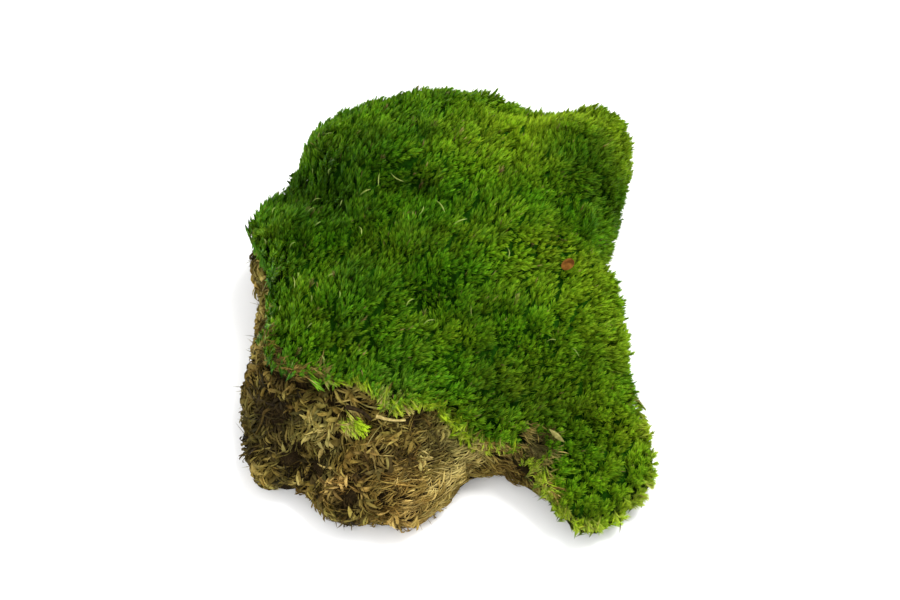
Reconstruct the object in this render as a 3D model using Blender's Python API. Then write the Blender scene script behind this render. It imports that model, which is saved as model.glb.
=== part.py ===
"""A clump of cushion moss, lifted whole and resting on its flat underside.

The clump is a mat of dead brown stems with a thick cushion of living green shoots grown over it.
The cushion's front right corner runs out into a low lobe, and at the front left the mat shows as a
sloping brown wall with a small tuft of its own. A few bits of litter lie on it.

X runs to the right, Y to the back and Z up. A bearing is the angle in degrees from X towards Y.
"""

import math

import bmesh
import bpy
import numpy as np
from mathutils import Matrix, Vector, noise
from mathutils.bvhtree import BVHTree

MM = 0.001
UP = Vector((0, 0, 1))

# How far the green reaches out from the middle: (bearing, millimetres).
GREEN_REACH = (
    (-168, 56), (-157, 63), (-139, 58), (-124, 48), (-105, 53), (-95, 45), (-84, 52), (-72, 55),
    (-66.5, 58), (-62.6, 87), (-58.5, 90.5), (-50, 89), (-42, 87), (-34, 77), (-23, 63), (-8, 57),
    (4, 54), (13, 51), (20, 54), (36, 69), (46, 86), (53, 91), (63, 80), (74, 80), (90, 78),
    (108, 79), (124, 74), (142, 66), (156, 67), (173, 56),
)

# How far the brown mat reaches out at its widest: (bearing, millimetres).
MAT_REACH = (
    (-168, 61), (-155, 69), (-146, 76), (-137, 81), (-128, 76), (-116, 79), (-105, 77), (-97, 76),
    (-90, 67), (-83, 59), (-72, 58), (-66, 66), (-58, 77), (-47, 80), (-38, 74), (-26, 58),
    (-12, 52), (10, 45), (22, 51), (40, 68), (52, 78), (64, 70), (80, 70), (100, 72), (125, 68),
    (143, 60), (156, 65), (175, 58),
)

# Height of the green's lower edge: (bearing, millimetres).
RIM_HEIGHT = (
    (-170, 27), (-155, 28), (-139, 31), (-115, 33), (-99, 32), (-90, 24), (-80, 15), (-67, 13),
    (-62.6, 6.5), (-45, 5), (-30, 7), (0, 10), (45, 8), (90, 9), (135, 13), (158, 20), (175, 25),
)

# The lie of the green's upper face: spot heights as (x, y, height) in millimetres.
SPOT_HEIGHTS = (
    (0, 2, 52), (-24, 44, 51), (4, 54, 53), (24, 60, 46), (46, 48, 54), (44, 14, 46),
    (24, 18, 53), (-44, 4, 45), (-43, 29, 39), (-24, 24, 47), (-45, -22, 43), (-20, -14, 50),
    (-16, -38, 45), (12, -36, 39), (14, -50, 26), (36, -20, 40), (46, -36, 29), (50, -50, 20),
    (48, -64, 15), (48, -74, 11), (62, -52, 14),
)
SPOT_SPREAD = 9 * MM

# Clefts in the green's upper face: both ends, depth and half width, in millimetres.
CLEFTS = (
    ((-16, 27), (-6, 26), 4.5, 4.2),
    ((-9, -17), (2, -14), 4.5, 4.0),
    ((-50, 40), (-30, 24), 3.5, 7.0),
    ((46, 14), (56, 13), 7, 5.0),
    ((25, 64), (23, 76), 5, 4.5),
    ((27, -47), (33, -60), 6, 4.5),
)

# The two grown bodies: how they meet, and how the mat comes down to the ground.
LIVING_DEPTH = 15 * MM
THINNEST_RISE = 1 * MM
BODY_GAP = 0.7 * MM
MAT_SHARE = 0.95
MAT_SHOULDER = 3 * MM
MAT_LIP = 1.5 * MM
BULGE_HEIGHT = 8 * MM
BULGE_SHARE = 0.4
UNDERCUT = 2.5 * MM

# The green's profile from crown to rim, where 2 is round and more is boxier, and how much closer
# its rings lie towards the rim.
GREEN_BOXINESS = 3.2
RING_CROWDING = 1.9

# Both bodies are round in plan near the middle and take their own outline towards the edge.
ROUND_REACH = 60 * MM

# Relief: rounded heads of shoots on the green, matted lumps on the brown.
HEAD_SPACING = 10.5 * MM
HEAD_RISE = 2.4 * MM
SWELL_SPACING = 27 * MM
SWELL_RISE = 1.6 * MM
LUMP_SPACING = 9 * MM
LUMP_RISE = 3 * MM

# Rings of the two bodies, counted from the top, and the segments around each.
SEGMENTS = 92
CROWN_RINGS = 25
MEETING_RINGS = 6
WALL_RINGS = 8
BASE_RINGS = 3

# Litter: the spot or two spots that each piece lies nearest, in millimetres, and its size.
LITTER_GAP = 0.4 * MM
SIDE_TUFT_SPOT = (-27.2, -52.6, 28.5)
SIDE_TUFT_SIZE = (10.5 * MM, 7.5 * MM, 3.2 * MM)
SIDE_TUFT_HEADING = 160
BUD_SCALE_SPOT = (37, -0.5, 42)
BUD_SCALE_SIZE = (4.6 * MM, 3.4 * MM, 0.6 * MM)
BUD_SCALE_HEADING = 35
DRY_LEAF_SPOT = (33.9, -49.7, 20.8)
DRY_LEAF_SIZE = (6.4 * MM, 1.7 * MM, 0.6 * MM)
DRY_LEAF_HEADING = -43
STRAW_ENDS = ((-20.8, -49.6, 31), (-11.8, -50.8, 30.5))
STRAW_RADII = (0.55 * MM, 0.30 * MM)
TWIG_ENDS = ((-30.3, -45.2, 30), (-22.6, -50.4, 31))
TWIG_RADII = (0.80 * MM, 0.50 * MM)
BIT_SEGMENTS = 14
BIT_RINGS = 8
ROD_POINTS = 7
STRAW_BOW = 0.5 * MM
TWIG_BOW = -0.8 * MM

COLOURS = {
    "living_moss": ((0.065, 0.145, 0.008), 0.75),
    "lime_moss": ((0.19, 0.26, 0.02), 0.75),
    "dead_stems": ((0.115, 0.075, 0.025), 0.9),
    "rust_scale": ((0.26, 0.07, 0.02), 0.5),
    "dry_straw": ((0.42, 0.31, 0.15), 0.7),
    "tan_leaf": ((0.30, 0.20, 0.09), 0.7),
    "dark_twig": ((0.03, 0.02, 0.012), 0.85),
}


def clear_scene():
    for obj in list(bpy.data.objects):
        bpy.data.objects.remove(obj)


def material(name):
    if name in bpy.data.materials:
        return bpy.data.materials[name]
    colour, roughness = COLOURS[name]
    made = bpy.data.materials.new(name)
    made.use_nodes = True
    shader = made.node_tree.nodes["Principled BSDF"]
    shader.inputs["Base Color"].default_value = (*colour, 1.0)
    shader.inputs["Roughness"].default_value = roughness
    shader.inputs["Metallic"].default_value = 0.0
    return made


def by_bearing(points, bearing):
    """The value at a bearing of a smooth closed curve through the points, in metres."""
    turns = np.array([turn for turn, _ in points], float)
    values = np.array([value for _, value in points], float) * MM
    turns = np.concatenate([turns[-2:] - 360, turns, turns[:3] + 360])
    values = np.concatenate([values[-2:], values, values[:3]])
    bearing = (bearing - turns[1]) % 360 + turns[1]
    i = int(np.searchsorted(turns, bearing, side="right")) - 1
    span = turns[i + 1] - turns[i]
    slope_start = (values[i + 1] - values[i - 1]) / (turns[i + 1] - turns[i - 1])
    slope_end = (values[i + 2] - values[i]) / (turns[i + 2] - turns[i])
    t = (bearing - turns[i]) / span
    ease = 3 * t**2 - 2 * t**3
    bend_start = (t**3 - 2 * t**2 + t) * span * slope_start
    bend_end = (t**3 - t**2) * span * slope_end
    return values[i] + ease * (values[i + 1] - values[i]) + bend_start + bend_end


def crown_height(x, y):
    """Height of the green's upper face: the spot heights, each weighted by how near it is."""
    spots = np.array(SPOT_HEIGHTS, float) * MM
    away = np.hypot(spots[:, 0] - x, spots[:, 1] - y)
    weight = 1 / (away**2 + SPOT_SPREAD**2) ** 2
    return float((weight * spots[:, 2]).sum() / weight.sum())


def cleft_depth(x, y):
    """How far the clefts sink the green's upper face."""
    deepest = 0.0
    for start, end, depth, half_width in CLEFTS:
        start = Vector(start) * MM
        along = Vector(end) * MM - start
        offset = Vector((x, y)) - start
        share = max(0.0, min(1.0, offset.dot(along) / along.length_squared))
        away = (offset - along * share).length / (half_width * MM)
        deepest = max(deepest, depth * MM * math.exp(-(away**2)))
    return deepest


def on_bearing(radius, bearing):
    turn = math.radians(bearing)
    return radius * math.cos(turn), radius * math.sin(turn)


def spread(share, edge):
    """Radius at a share of the way out: even and round near the middle, at the edge for 1."""
    return ROUND_REACH * share + (edge - ROUND_REACH) * share**4


def shoulder_radius(bearing):
    """Radius inside which the mat fills all of the green's underside."""
    widest = by_bearing(MAT_REACH, bearing)
    return min(MAT_SHARE * by_bearing(GREEN_REACH, bearing), widest - MAT_SHOULDER)


def meeting_height(radius, bearing):
    """Height at which the green sits on the mat: lowest at the rim, rising under the crown."""
    reach = by_bearing(GREEN_REACH, bearing)
    rim = by_bearing(RIM_HEIGHT, bearing)
    x, y = on_bearing(radius, bearing)
    rise = max(crown_height(x, y) - LIVING_DEPTH - rim, THINNEST_RISE)
    return rim + rise * (1 - (radius / reach) ** 3)


def green_point(ring, bearing):
    """A point of the green: over the crown, round the rim and back along the meeting face."""
    if ring <= CROWN_RINGS:
        share = 1 - (1 - ring / CROWN_RINGS) ** RING_CROWDING
        radius = spread(share, by_bearing(GREEN_REACH, bearing))
        x, y = on_bearing(radius, bearing)
        rim = by_bearing(RIM_HEIGHT, bearing)
        rise = crown_height(x, y) - cleft_depth(x, y) - rim
        fall = (1 - share**GREEN_BOXINESS) ** (1 / GREEN_BOXINESS)
        return Vector((x, y, rim + rise * fall))
    share = 1 - (ring - CROWN_RINGS - 1) / MEETING_RINGS
    radius = spread(share, shoulder_radius(bearing))
    return Vector((*on_bearing(radius, bearing), meeting_height(radius, bearing)))


def mat_point(ring, bearing):
    """A point of the mat: along the meeting face, down the wall and over the flat underside."""
    shoulder = shoulder_radius(bearing)
    if ring <= MEETING_RINGS:
        radius = spread(ring / MEETING_RINGS, shoulder)
        height = meeting_height(radius, bearing) - BODY_GAP
        return Vector((*on_bearing(radius, bearing), height))
    widest = by_bearing(MAT_REACH, bearing)
    step = ring - MEETING_RINGS - 1
    if step < WALL_RINGS:
        reach = by_bearing(GREEN_REACH, bearing)
        lip = min(reach, widest - MAT_LIP)
        out = (lip - shoulder) / (reach - shoulder)
        rim = by_bearing(RIM_HEIGHT, bearing)
        start = meeting_height(shoulder, bearing) * (1 - out) + rim * out - BODY_GAP
        bulge = min(BULGE_HEIGHT, BULGE_SHARE * start)
        down = step / (WALL_RINGS - 1)
        radius = lip + (widest - lip) * down**0.9
        return Vector((*on_bearing(radius, bearing), bulge + (start - bulge) * (1 - down**1.2)))
    share = 1 - (step - WALL_RINGS) / BASE_RINGS
    return Vector((*on_bearing(spread(share, widest - UNDERCUT), bearing), 0))


def head_shape(place, spacing):
    """1 at the middle of the nearest rounded head and 0 in the dips between heads."""
    nearest = noise.voronoi(place / spacing)[0][0]
    return 1 - min(nearest / 0.75, 1) ** 2


def green_relief(ring, place):
    """How far the green stands out at a point: heads and broad swells, none at the rim."""
    fade = min(1, max(0, (CROWN_RINGS - ring) / 3))
    heads = HEAD_RISE * (head_shape(place, HEAD_SPACING) - 0.55)
    return fade * (heads + SWELL_RISE * noise.noise(place / SWELL_SPACING))


def mat_relief(ring, place):
    """How far the mat's wall stands out at a point; its top and underside stay smooth."""
    step = ring - MEETING_RINGS - 1
    if not 0 < step < WALL_RINGS:
        return 0.0
    share = math.sin(math.pi * step / WALL_RINGS)
    return LUMP_RISE * share * (head_shape(place, LUMP_SPACING) - 0.45)


def ringed_body(name, rings, place, relief, finish):
    """A sphere whose rings are laid where place says, then raised along its normals."""
    shape = bmesh.new()
    bmesh.ops.create_uvsphere(shape, u_segments=SEGMENTS, v_segments=rings, radius=1)
    ring_of = {}
    for vertex in shape.verts:
        ring = round(math.acos(max(-1, min(1, vertex.co.z))) / math.pi * rings)
        bearing = math.degrees(math.atan2(vertex.co.y, vertex.co.x))
        ring_of[vertex] = ring
        vertex.co = place(ring, bearing)
    shape.normal_update()
    raised = [v.co + v.normal * relief(ring_of[v], v.co) for v in shape.verts]
    for vertex, spot in zip(shape.verts, raised):
        vertex.co = spot
    bmesh.ops.triangulate(shape, faces=shape.faces, quad_method="SHORT_EDGE")
    mesh = bpy.data.meshes.new(name)
    shape.to_mesh(mesh)
    shape.free()
    mesh.shade_smooth()
    mesh.materials.append(material(finish))
    return bpy.data.objects.new(name, mesh)


def moss_cushion():
    rings = CROWN_RINGS + 1 + MEETING_RINGS
    return ringed_body("moss_cushion", rings, green_point, green_relief, "living_moss")


def stem_mat():
    rings = MEETING_RINGS + WALL_RINGS + 1 + BASE_RINGS
    return ringed_body("stem_mat", rings, mat_point, mat_relief, "dead_stems")


def surface_of(bodies):
    """All the bodies' faces, ready to be searched for the nearest."""
    spots = []
    faces = []
    for body in bodies:
        first = len(spots)
        spots += [v.co.copy() for v in body.data.vertices]
        faces += [[first + i for i in face.vertices] for face in body.data.polygons]
    return BVHTree.FromPolygons(spots, faces)


def height_over(surface, spot):
    """How far a spot stands off the surface: less than 0 if it is inside."""
    nearest, normal, _, _ = surface.find_nearest(spot)
    return (spot - nearest).length * math.copysign(1, (spot - nearest).dot(normal))


def lift_clear(surface, spots, away, clearance):
    """The shift along away that leaves the nearest of the spots just clear of the surface."""
    shift = Vector((0, 0, 0))
    for _ in range(6):
        nearest = min(height_over(surface, spot + shift) for spot in spots)
        shift += away * (clearance - nearest)
    return shift


def laid_bit(name, surface, spot, size, heading, finish, form):
    """A small flat body on the surface: its length runs along the heading, form bends its shape."""
    shape = bmesh.new()
    bmesh.ops.create_uvsphere(shape, u_segments=BIT_SEGMENTS, v_segments=BIT_RINGS, radius=1)
    for vertex in shape.verts:
        bent = form(vertex.co)
        vertex.co = Vector([0.5 * part * whole for part, whole in zip(bent, size)])
    mesh = bpy.data.meshes.new(name)
    shape.to_mesh(mesh)
    shape.free()
    mesh.shade_smooth()
    mesh.materials.append(material(finish))

    place, normal, _, _ = surface.find_nearest(Vector(spot) * MM)
    turn = UP.rotation_difference(normal).to_matrix().to_4x4()
    turn @= Matrix.Rotation(math.radians(heading), 4, "Z")
    spots = [place + turn @ v.co for v in mesh.vertices]
    shift = lift_clear(surface, spots, normal, LITTER_GAP)
    bit = bpy.data.objects.new(name, mesh)
    bit.matrix_world = Matrix.Translation(place + shift) @ turn
    return bit


def laid_rod(name, surface, ends, radii, bow, finish):
    """A thin round rod across the surface, a little bowed and tapering from end to end."""
    start, end = (Vector(spot) * MM for spot in ends)
    _, normal, _, _ = surface.find_nearest((start + end) / 2)
    side = (end - start).cross(normal).normalized()
    shares = [i / (ROD_POINTS - 1) for i in range(ROD_POINTS)]
    spots = [start.lerp(end, t) + side * bow * math.sin(math.pi * t) for t in shares]
    shift = lift_clear(surface, spots, normal, max(radii) + LITTER_GAP)

    curve = bpy.data.curves.new(name, "CURVE")
    curve.dimensions = "3D"
    curve.bevel_depth = max(radii)
    curve.bevel_resolution = 2
    curve.use_fill_caps = True
    spline = curve.splines.new("POLY")
    spline.points.add(ROD_POINTS - 1)
    for point, spot, t in zip(spline.points, spots, shares):
        point.co = (*(spot + shift), 1)
        point.radius = (radii[0] * (1 - t) + radii[1] * t) / max(radii)
    spline.use_smooth = True
    curve.materials.append(material(finish))
    return bpy.data.objects.new(name, curve)


def tuft_form(spot):
    """A cushion that narrows to about half its width along its length, with small heads."""
    narrowing = 1 - 0.45 * (spot.x + 1) / 2
    heads = 0.9 + 0.1 * head_shape(spot, 0.55)
    return Vector((spot.x, spot.y * narrowing, spot.z)) * heads


def scale_form(spot):
    """A cupped oval with its edges turned up."""
    cup = 0.9 * (spot.x**2 + spot.y**2)
    return Vector((spot.x, spot.y, spot.z + cup))


def leaf_form(spot):
    """A narrow blade, pointed at both ends and arched along its length."""
    width = 1 - 0.75 * spot.x**2
    return Vector((spot.x, spot.y * width, spot.z * width - 0.9 * spot.x**2))


def litter(surface):
    """The small loose pieces that lie on the clump and the tuft that grows on its wall."""
    return [
        laid_bit("side_tuft", surface, SIDE_TUFT_SPOT, SIDE_TUFT_SIZE, SIDE_TUFT_HEADING,
                 "lime_moss", tuft_form),
        laid_bit("bud_scale", surface, BUD_SCALE_SPOT, BUD_SCALE_SIZE, BUD_SCALE_HEADING,
                 "rust_scale", scale_form),
        laid_bit("dry_leaf", surface, DRY_LEAF_SPOT, DRY_LEAF_SIZE, DRY_LEAF_HEADING,
                 "tan_leaf", leaf_form),
        laid_rod("straw", surface, STRAW_ENDS, STRAW_RADII, STRAW_BOW, "dry_straw"),
        laid_rod("twig", surface, TWIG_ENDS, TWIG_RADII, TWIG_BOW, "dark_twig"),
    ]


def middle_of(bodies):
    """The middle in plan of the box around the bodies."""
    spots = np.array([v.co for body in bodies for v in body.data.vertices])
    middle = (spots.min(axis=0) + spots.max(axis=0)) / 2
    return Vector((middle[0], middle[1], 0))


def main():
    clear_scene()
    bodies = [moss_cushion(), stem_mat()]
    parts = bodies + litter(surface_of(bodies))

    clump = bpy.data.objects.new("clump", None)
    clump.location = -middle_of(bodies)
    collection = bpy.data.collections.new("moss_clump")
    bpy.context.scene.collection.children.link(collection)
    collection.objects.link(clump)
    for part in parts:
        collection.objects.link(part)
        part.parent = clump


main()
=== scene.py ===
"""The looks of a clump of cushion moss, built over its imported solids.

The living cushion is thousands of small leafy shoots whose tips reach the cushion's solid. The mat
below it is dead brown stems, curled dead leaves and root hairs over a dark core. Lengths are in
metres, or in millimetres where it says so, with X to the right, Y to the back and Z up. A bearing
is the angle from X towards Y.
"""

import logging
import math
from collections.abc import Callable
from dataclasses import dataclass
from enum import Enum

import bpy
import numpy as np
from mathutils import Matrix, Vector


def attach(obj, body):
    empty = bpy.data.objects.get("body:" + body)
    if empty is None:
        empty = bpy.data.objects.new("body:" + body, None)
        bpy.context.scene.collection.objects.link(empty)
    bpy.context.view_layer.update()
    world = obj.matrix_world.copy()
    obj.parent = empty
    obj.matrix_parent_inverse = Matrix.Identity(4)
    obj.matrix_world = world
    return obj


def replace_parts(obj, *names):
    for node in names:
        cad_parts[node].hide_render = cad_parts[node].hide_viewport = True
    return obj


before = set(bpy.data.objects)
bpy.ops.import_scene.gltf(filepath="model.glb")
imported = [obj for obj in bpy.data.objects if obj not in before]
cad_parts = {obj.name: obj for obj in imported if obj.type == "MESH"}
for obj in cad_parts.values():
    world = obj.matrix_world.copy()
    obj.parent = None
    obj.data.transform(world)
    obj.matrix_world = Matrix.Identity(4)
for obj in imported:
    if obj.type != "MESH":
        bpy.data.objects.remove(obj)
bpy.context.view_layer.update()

MM = 0.001
GOLDEN_TURN = math.pi * (3 - math.sqrt(5))
UP = np.array([0.0, 0.0, 1.0])
# Searches go through this many points at a time, so that they need little memory.
ROWS_AT_ONCE = 2000
LOG = logging.getLogger("moss_clump")

Material = bpy.types.Material
Socket = bpy.types.NodeSocket
Range = tuple[float, float]
Colour = tuple[float, float, float]
Triple = tuple[float, float, float]
# Places on a colour ramp, from 0 to 1, with their colours.
Stops = tuple[tuple[float, Colour], ...]
# The x and y of a bell's middle and its reach, all in millimetres, and its strength.
Bell = tuple[float, float, float, float]


class Channel(Enum):
    """The two vector attributes that the plant materials read."""

    GROWTH = "growth"
    WEAR_AND_PAINTED_SHADE = "wear_and_painted_shade"


class Operation(Enum):
    """What a material does with two values."""

    ADD = "ADD"
    MULTIPLY = "MULTIPLY"


class Quarter(Enum):
    """The cushion's quarters, counted by bearing from the back right."""

    BACK_RIGHT = 0
    BACK_LEFT = 1
    FRONT_LEFT = 2
    FRONT_RIGHT = 3


def unit(vectors: np.ndarray) -> np.ndarray:
    """Each vector divided by its length."""
    return vectors / np.maximum(np.linalg.norm(vectors, axis=-1, keepdims=True), 1e-12)


def crossed(corners: np.ndarray) -> np.ndarray:
    """Two crossed edges of each triangle: square to it, and as long as twice its area."""
    return np.cross(corners[:, 1] - corners[:, 0], corners[:, 2] - corners[:, 0])


def evenly(*colours: Colour) -> Stops:
    """Colours as the stops of a ramp, evenly spaced from 0 to 1."""
    return tuple((index / (len(colours) - 1), colour) for index, colour in enumerate(colours))


def ease(values: np.ndarray, low: float, high: float) -> np.ndarray:
    """0 below low, 1 above high and a smooth S-curve, 3t squared less 2t cubed, between them.

    Args:
        values: What is tested.
        low: Where the curve leaves 0. It may be above high, and then the curve falls.
        high: Where the curve reaches 1.

    Returns:
        The curve's values, of the same shape as values.
    """
    t = np.clip((values - low) / (high - low), 0, 1)
    return t * t * (3 - 2 * t)


def fade(lengths: np.ndarray, low: float, high: float) -> np.ndarray:
    """The curve of ease for lengths in metres, with its two limits in millimetres."""
    return ease(lengths, low * MM, high * MM)


def away_from(places: np.ndarray, x: float, y: float) -> np.ndarray:
    """Each point's distance in plan from a place that is given in millimetres."""
    return np.hypot(places[..., 0] - x * MM, places[..., 1] - y * MM)


def hump(places: np.ndarray, x: float, y: float, reach: float) -> np.ndarray:
    """A bell in plan round a middle: e to the minus square of distance over reach.

    Args:
        places: Points, the last axis holding x, y and z.
        x: The middle's x in millimetres.
        y: The middle's y in millimetres.
        reach: The distance, in millimetres, at which the bell has fallen to about a third.

    Returns:
        A value from 0 to 1 for each point.
    """
    return np.exp(-((away_from(places, x, y) / (reach * MM)) ** 2))


def bells(places: np.ndarray, listed: tuple[Bell, ...]) -> np.ndarray:
    """The sum of the listed humps at each point, each times its strength."""
    return sum(strength * hump(places, x, y, reach) for x, y, reach, strength in listed)


def waves(places: np.ndarray, span: float, seed: int) -> np.ndarray:
    """A smooth random field from about -1 to 1: twice the mean of eight sine waves.

    Args:
        places: Points, the last axis holding x, y and z.
        span: The length of the waves, which vary by a third or so.
        seed: Chooses the waves' directions, lengths and phases.

    Returns:
        The field's value at each point.
    """
    rng = np.random.default_rng(seed)
    ways = unit(rng.normal(size=(8, 3))) * rng.uniform(0.7, 1.5, (8, 1)) * 2 * math.pi / span
    phases = rng.uniform(0, 2 * math.pi, 8)
    return np.sin(places @ ways.T + phases).mean(axis=-1) * 2


def nearest_two(spots: np.ndarray, centres: np.ndarray) -> tuple[np.ndarray, np.ndarray, np.ndarray]:
    """The nearest centre of each spot, and the distances to it and to the next one.

    Args:
        spots: Points, one a row.
        centres: The centres to search, one a row.

    Returns:
        The nearest centre's index, its distance and the second nearest's distance.
    """
    index = np.empty(len(spots), int)
    first = np.empty(len(spots))
    second = np.empty(len(spots))
    for start in range(0, len(spots), ROWS_AT_ONCE):
        rows = slice(start, start + ROWS_AT_ONCE)
        away = np.linalg.norm(spots[rows, None] - centres[None], axis=-1)
        two = np.argpartition(away, 1, axis=1)[:, :2]
        near = np.take_along_axis(away, two, axis=1)
        order = np.argsort(near, axis=1)
        near = np.take_along_axis(near, order, axis=1)
        index[rows] = np.take_along_axis(two, order, axis=1)[:, 0]
        first[rows], second[rows] = near[:, 0], near[:, 1]
    return index, first, second


@dataclass
class Spots:
    """Points on a surface with the surface's outward normals, one a row."""

    places: np.ndarray
    normals: np.ndarray

    def __len__(self) -> int:
        """How many points there are."""
        return len(self.places)

    def kept(self, wanted: np.ndarray) -> "Spots":
        """The points that a mask or an index list picks."""
        return Spots(self.places[wanted], self.normals[wanted])

    def spaced(self, spacing: float, rng: np.random.Generator) -> "Spots":
        """A choice of the points of which no two are closer than the spacing.

        Each point gets a random rank. A point is chosen if it outranks every free point closer than
        the spacing, and then those points aren't free any more. This is done five times over.

        Args:
            spacing: The least distance between two chosen points.
            rng: The source of chance.

        Returns:
            The chosen points.
        """
        spots = self.kept(np.argsort(self.places[:, 0]))
        count = len(spots)
        pairs = []
        for step in range(1, count):
            near = spots.places[step:, 0] - spots.places[:-step, 0] < spacing
            if not near.any():
                break
            first = np.flatnonzero(near)
            away = spots.places[first + step] - spots.places[first]
            first = first[(away**2).sum(axis=1) < spacing**2]
            pairs.append(np.stack([first, first + step]))
        low, high = np.concatenate(pairs, axis=1)
        rank = rng.permutation(count)
        free = np.ones(count, bool)
        chosen = np.zeros(count, bool)
        for _ in range(5):
            rivals = free[low] & free[high]
            beaten = np.where(rank[low] < rank[high], low, high)[rivals]
            winners = free.copy()
            winners[beaten] = False
            chosen |= winners
            free &= ~winners
            free[high[winners[low]]] = False
            free[low[winners[high]]] = False
        return spots.kept(chosen)


@dataclass
class Skin:
    """A solid's surface as welded triangles with smooth normals."""

    places: np.ndarray
    triangles: np.ndarray
    normals: np.ndarray

    @classmethod
    def of(cls, name: str) -> "Skin":
        """The surface of a solid of the frame, its loose triangles welded by rounding.

        Args:
            name: The solid's node.

        Returns:
            The welded surface. The solid itself isn't changed.
        """
        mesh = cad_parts[name].data
        mesh.calc_loop_triangles()
        loose = np.empty(len(mesh.vertices) * 3, np.float32)
        mesh.vertices.foreach_get("co", loose)
        corners = np.empty(len(mesh.loop_triangles) * 3, np.int32)
        mesh.loop_triangles.foreach_get("vertices", corners)
        places, joined = np.unique(loose.reshape(-1, 3).round(6), axis=0, return_inverse=True)
        return cls.welded(places.astype(float), joined.ravel()[corners].reshape(-1, 3))

    @classmethod
    def welded(cls, places: np.ndarray, triangles: np.ndarray) -> "Skin":
        """A surface whose normals are the sums of the crossed edges of the triangles round a point.

        Args:
            places: The surface's points.
            triangles: Each triangle's three points, by number.

        Returns:
            The surface, its normals a unit long.
        """
        square = crossed(places[triangles])
        normals = np.zeros_like(places)
        for corner in range(3):
            np.add.at(normals, triangles[:, corner], square)
        return cls(places, triangles, unit(normals))

    def finer(self) -> "Skin":
        """The same surface with each triangle split in four at the middles of its edges.

        Returns:
            A new surface of the same form.
        """
        edges = np.sort(self.triangles[:, [0, 1, 1, 2, 2, 0]].reshape(-1, 2), axis=1)
        ends, made = np.unique(edges, axis=0, return_inverse=True)
        a, b, c = self.triangles.T
        ab, bc, ca = (made.reshape(-1, 3) + len(self.places)).T
        places = np.concatenate([self.places, self.places[ends].mean(axis=1)])
        quarters = [(a, ab, ca), (ab, b, bc), (ca, bc, c), (ab, bc, ca)]
        triangles = np.concatenate([np.stack(quarter, axis=1) for quarter in quarters])
        return Skin.welded(places, triangles)

    def moved(self, shift: np.ndarray) -> "Skin":
        """The surface with each point moved along its normal by its own shift."""
        return Skin.welded(self.places + self.normals * shift[:, None], self.triangles)

    def scattered(self, count: int, rng: np.random.Generator) -> Spots:
        """Random points spread evenly over the surface.

        A triangle is chosen by its area, and a place in it by two random weights that are folded
        back where their sum passes 1.

        Args:
            count: How many points.
            rng: The source of chance.

        Returns:
            The points, with normals mixed from those at the triangle's corners.
        """
        corners = self.places[self.triangles]
        areas = np.linalg.norm(crossed(corners), axis=1)
        chosen = rng.choice(len(areas), count, p=areas / areas.sum())
        u, v = rng.random((2, count))
        folded = u + v > 1
        u, v = np.where(folded, 1 - u, u), np.where(folded, 1 - v, v)
        weights = np.stack([1 - u - v, u, v], axis=1)[..., None]
        places = (corners[chosen] * weights).sum(axis=1)
        normals = unit((self.normals[self.triangles[chosen]] * weights).sum(axis=1))
        return Spots(places, normals)

    def draped(self, paths: np.ndarray, lift: np.ndarray) -> tuple[np.ndarray, np.ndarray]:
        """Lays points on the surface: each is moved onto the plane of the skin near it.

        The plane at a point goes through the mean of the three nearest skin points, each weighted
        by one over its squared distance, and is square to the mean of their normals.

        Args:
            paths: Points, the last axis holding x, y and z.
            lift: How far off the surface each point ends, of the shape of paths without that axis.

        Returns:
            The moved points and the surface's normals there.
        """
        flat = paths.reshape(-1, 3)
        near_place = np.empty_like(flat)
        near_normal = np.empty_like(flat)
        for start in range(0, len(flat), ROWS_AT_ONCE):
            rows = slice(start, start + ROWS_AT_ONCE)
            away = ((flat[rows, None] - self.places[None]) ** 2).sum(axis=-1)
            three = np.argpartition(away, 3, axis=1)[:, :3]
            weight = 1 / (np.take_along_axis(away, three, axis=1) + (0.5 * MM) ** 2)
            weight = (weight / weight.sum(axis=1, keepdims=True))[..., None]
            near_place[rows] = (self.places[three] * weight).sum(axis=1)
            near_normal[rows] = unit((self.normals[three] * weight).sum(axis=1))
        off = ((flat - near_place) * near_normal).sum(axis=1) - lift.reshape(-1)
        laid = flat - near_normal * off[:, None]
        return laid.reshape(paths.shape), near_normal.reshape(paths.shape)


@dataclass
class Outline:
    """How far a solid reaches from the middle, and how low it hangs, by bearing."""

    reach: np.ndarray
    lowest: np.ndarray

    @classmethod
    def of(cls, skin: Skin, sectors: int = 90) -> "Outline":
        """Measures a surface in equal sectors of bearing.

        Args:
            skin: The surface.
            sectors: How many sectors the full turn is cut into.

        Returns:
            The farthest reach and the lowest height met in each sector.
        """
        x, y, z = skin.places.T
        sector = ((np.arctan2(y, x) / (2 * math.pi) % 1) * sectors).astype(int) % sectors
        reach = np.zeros(sectors)
        lowest = np.full(sectors, 1.0)
        np.maximum.at(reach, sector, np.hypot(x, y))
        np.minimum.at(lowest, sector, z)
        return cls(reach, lowest)

    def read(self, values: np.ndarray, places: np.ndarray) -> np.ndarray:
        """A sector value at each point's bearing, drawn straight between the sectors' middles.

        Args:
            values: One value for each sector.
            places: Points, the last axis holding x, y and z.

        Returns:
            The value at each point.
        """
        sectors = len(values)
        turn = (np.arctan2(places[..., 1], places[..., 0]) / (2 * math.pi) % 1) * sectors - 0.5
        return np.interp(turn, np.arange(-1, sectors + 1), np.pad(values, 1, mode="wrap"))

    def inside(self, places: np.ndarray) -> np.ndarray:
        """How far inside the outline each point lies in plan, less than 0 outside it."""
        return self.read(self.reach, places) - np.hypot(places[..., 0], places[..., 1])

    def above_rim(self, places: np.ndarray) -> np.ndarray:
        """How far each point lies above the rim at its bearing."""
        return places[..., 2] - self.read(self.lowest, places)


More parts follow.
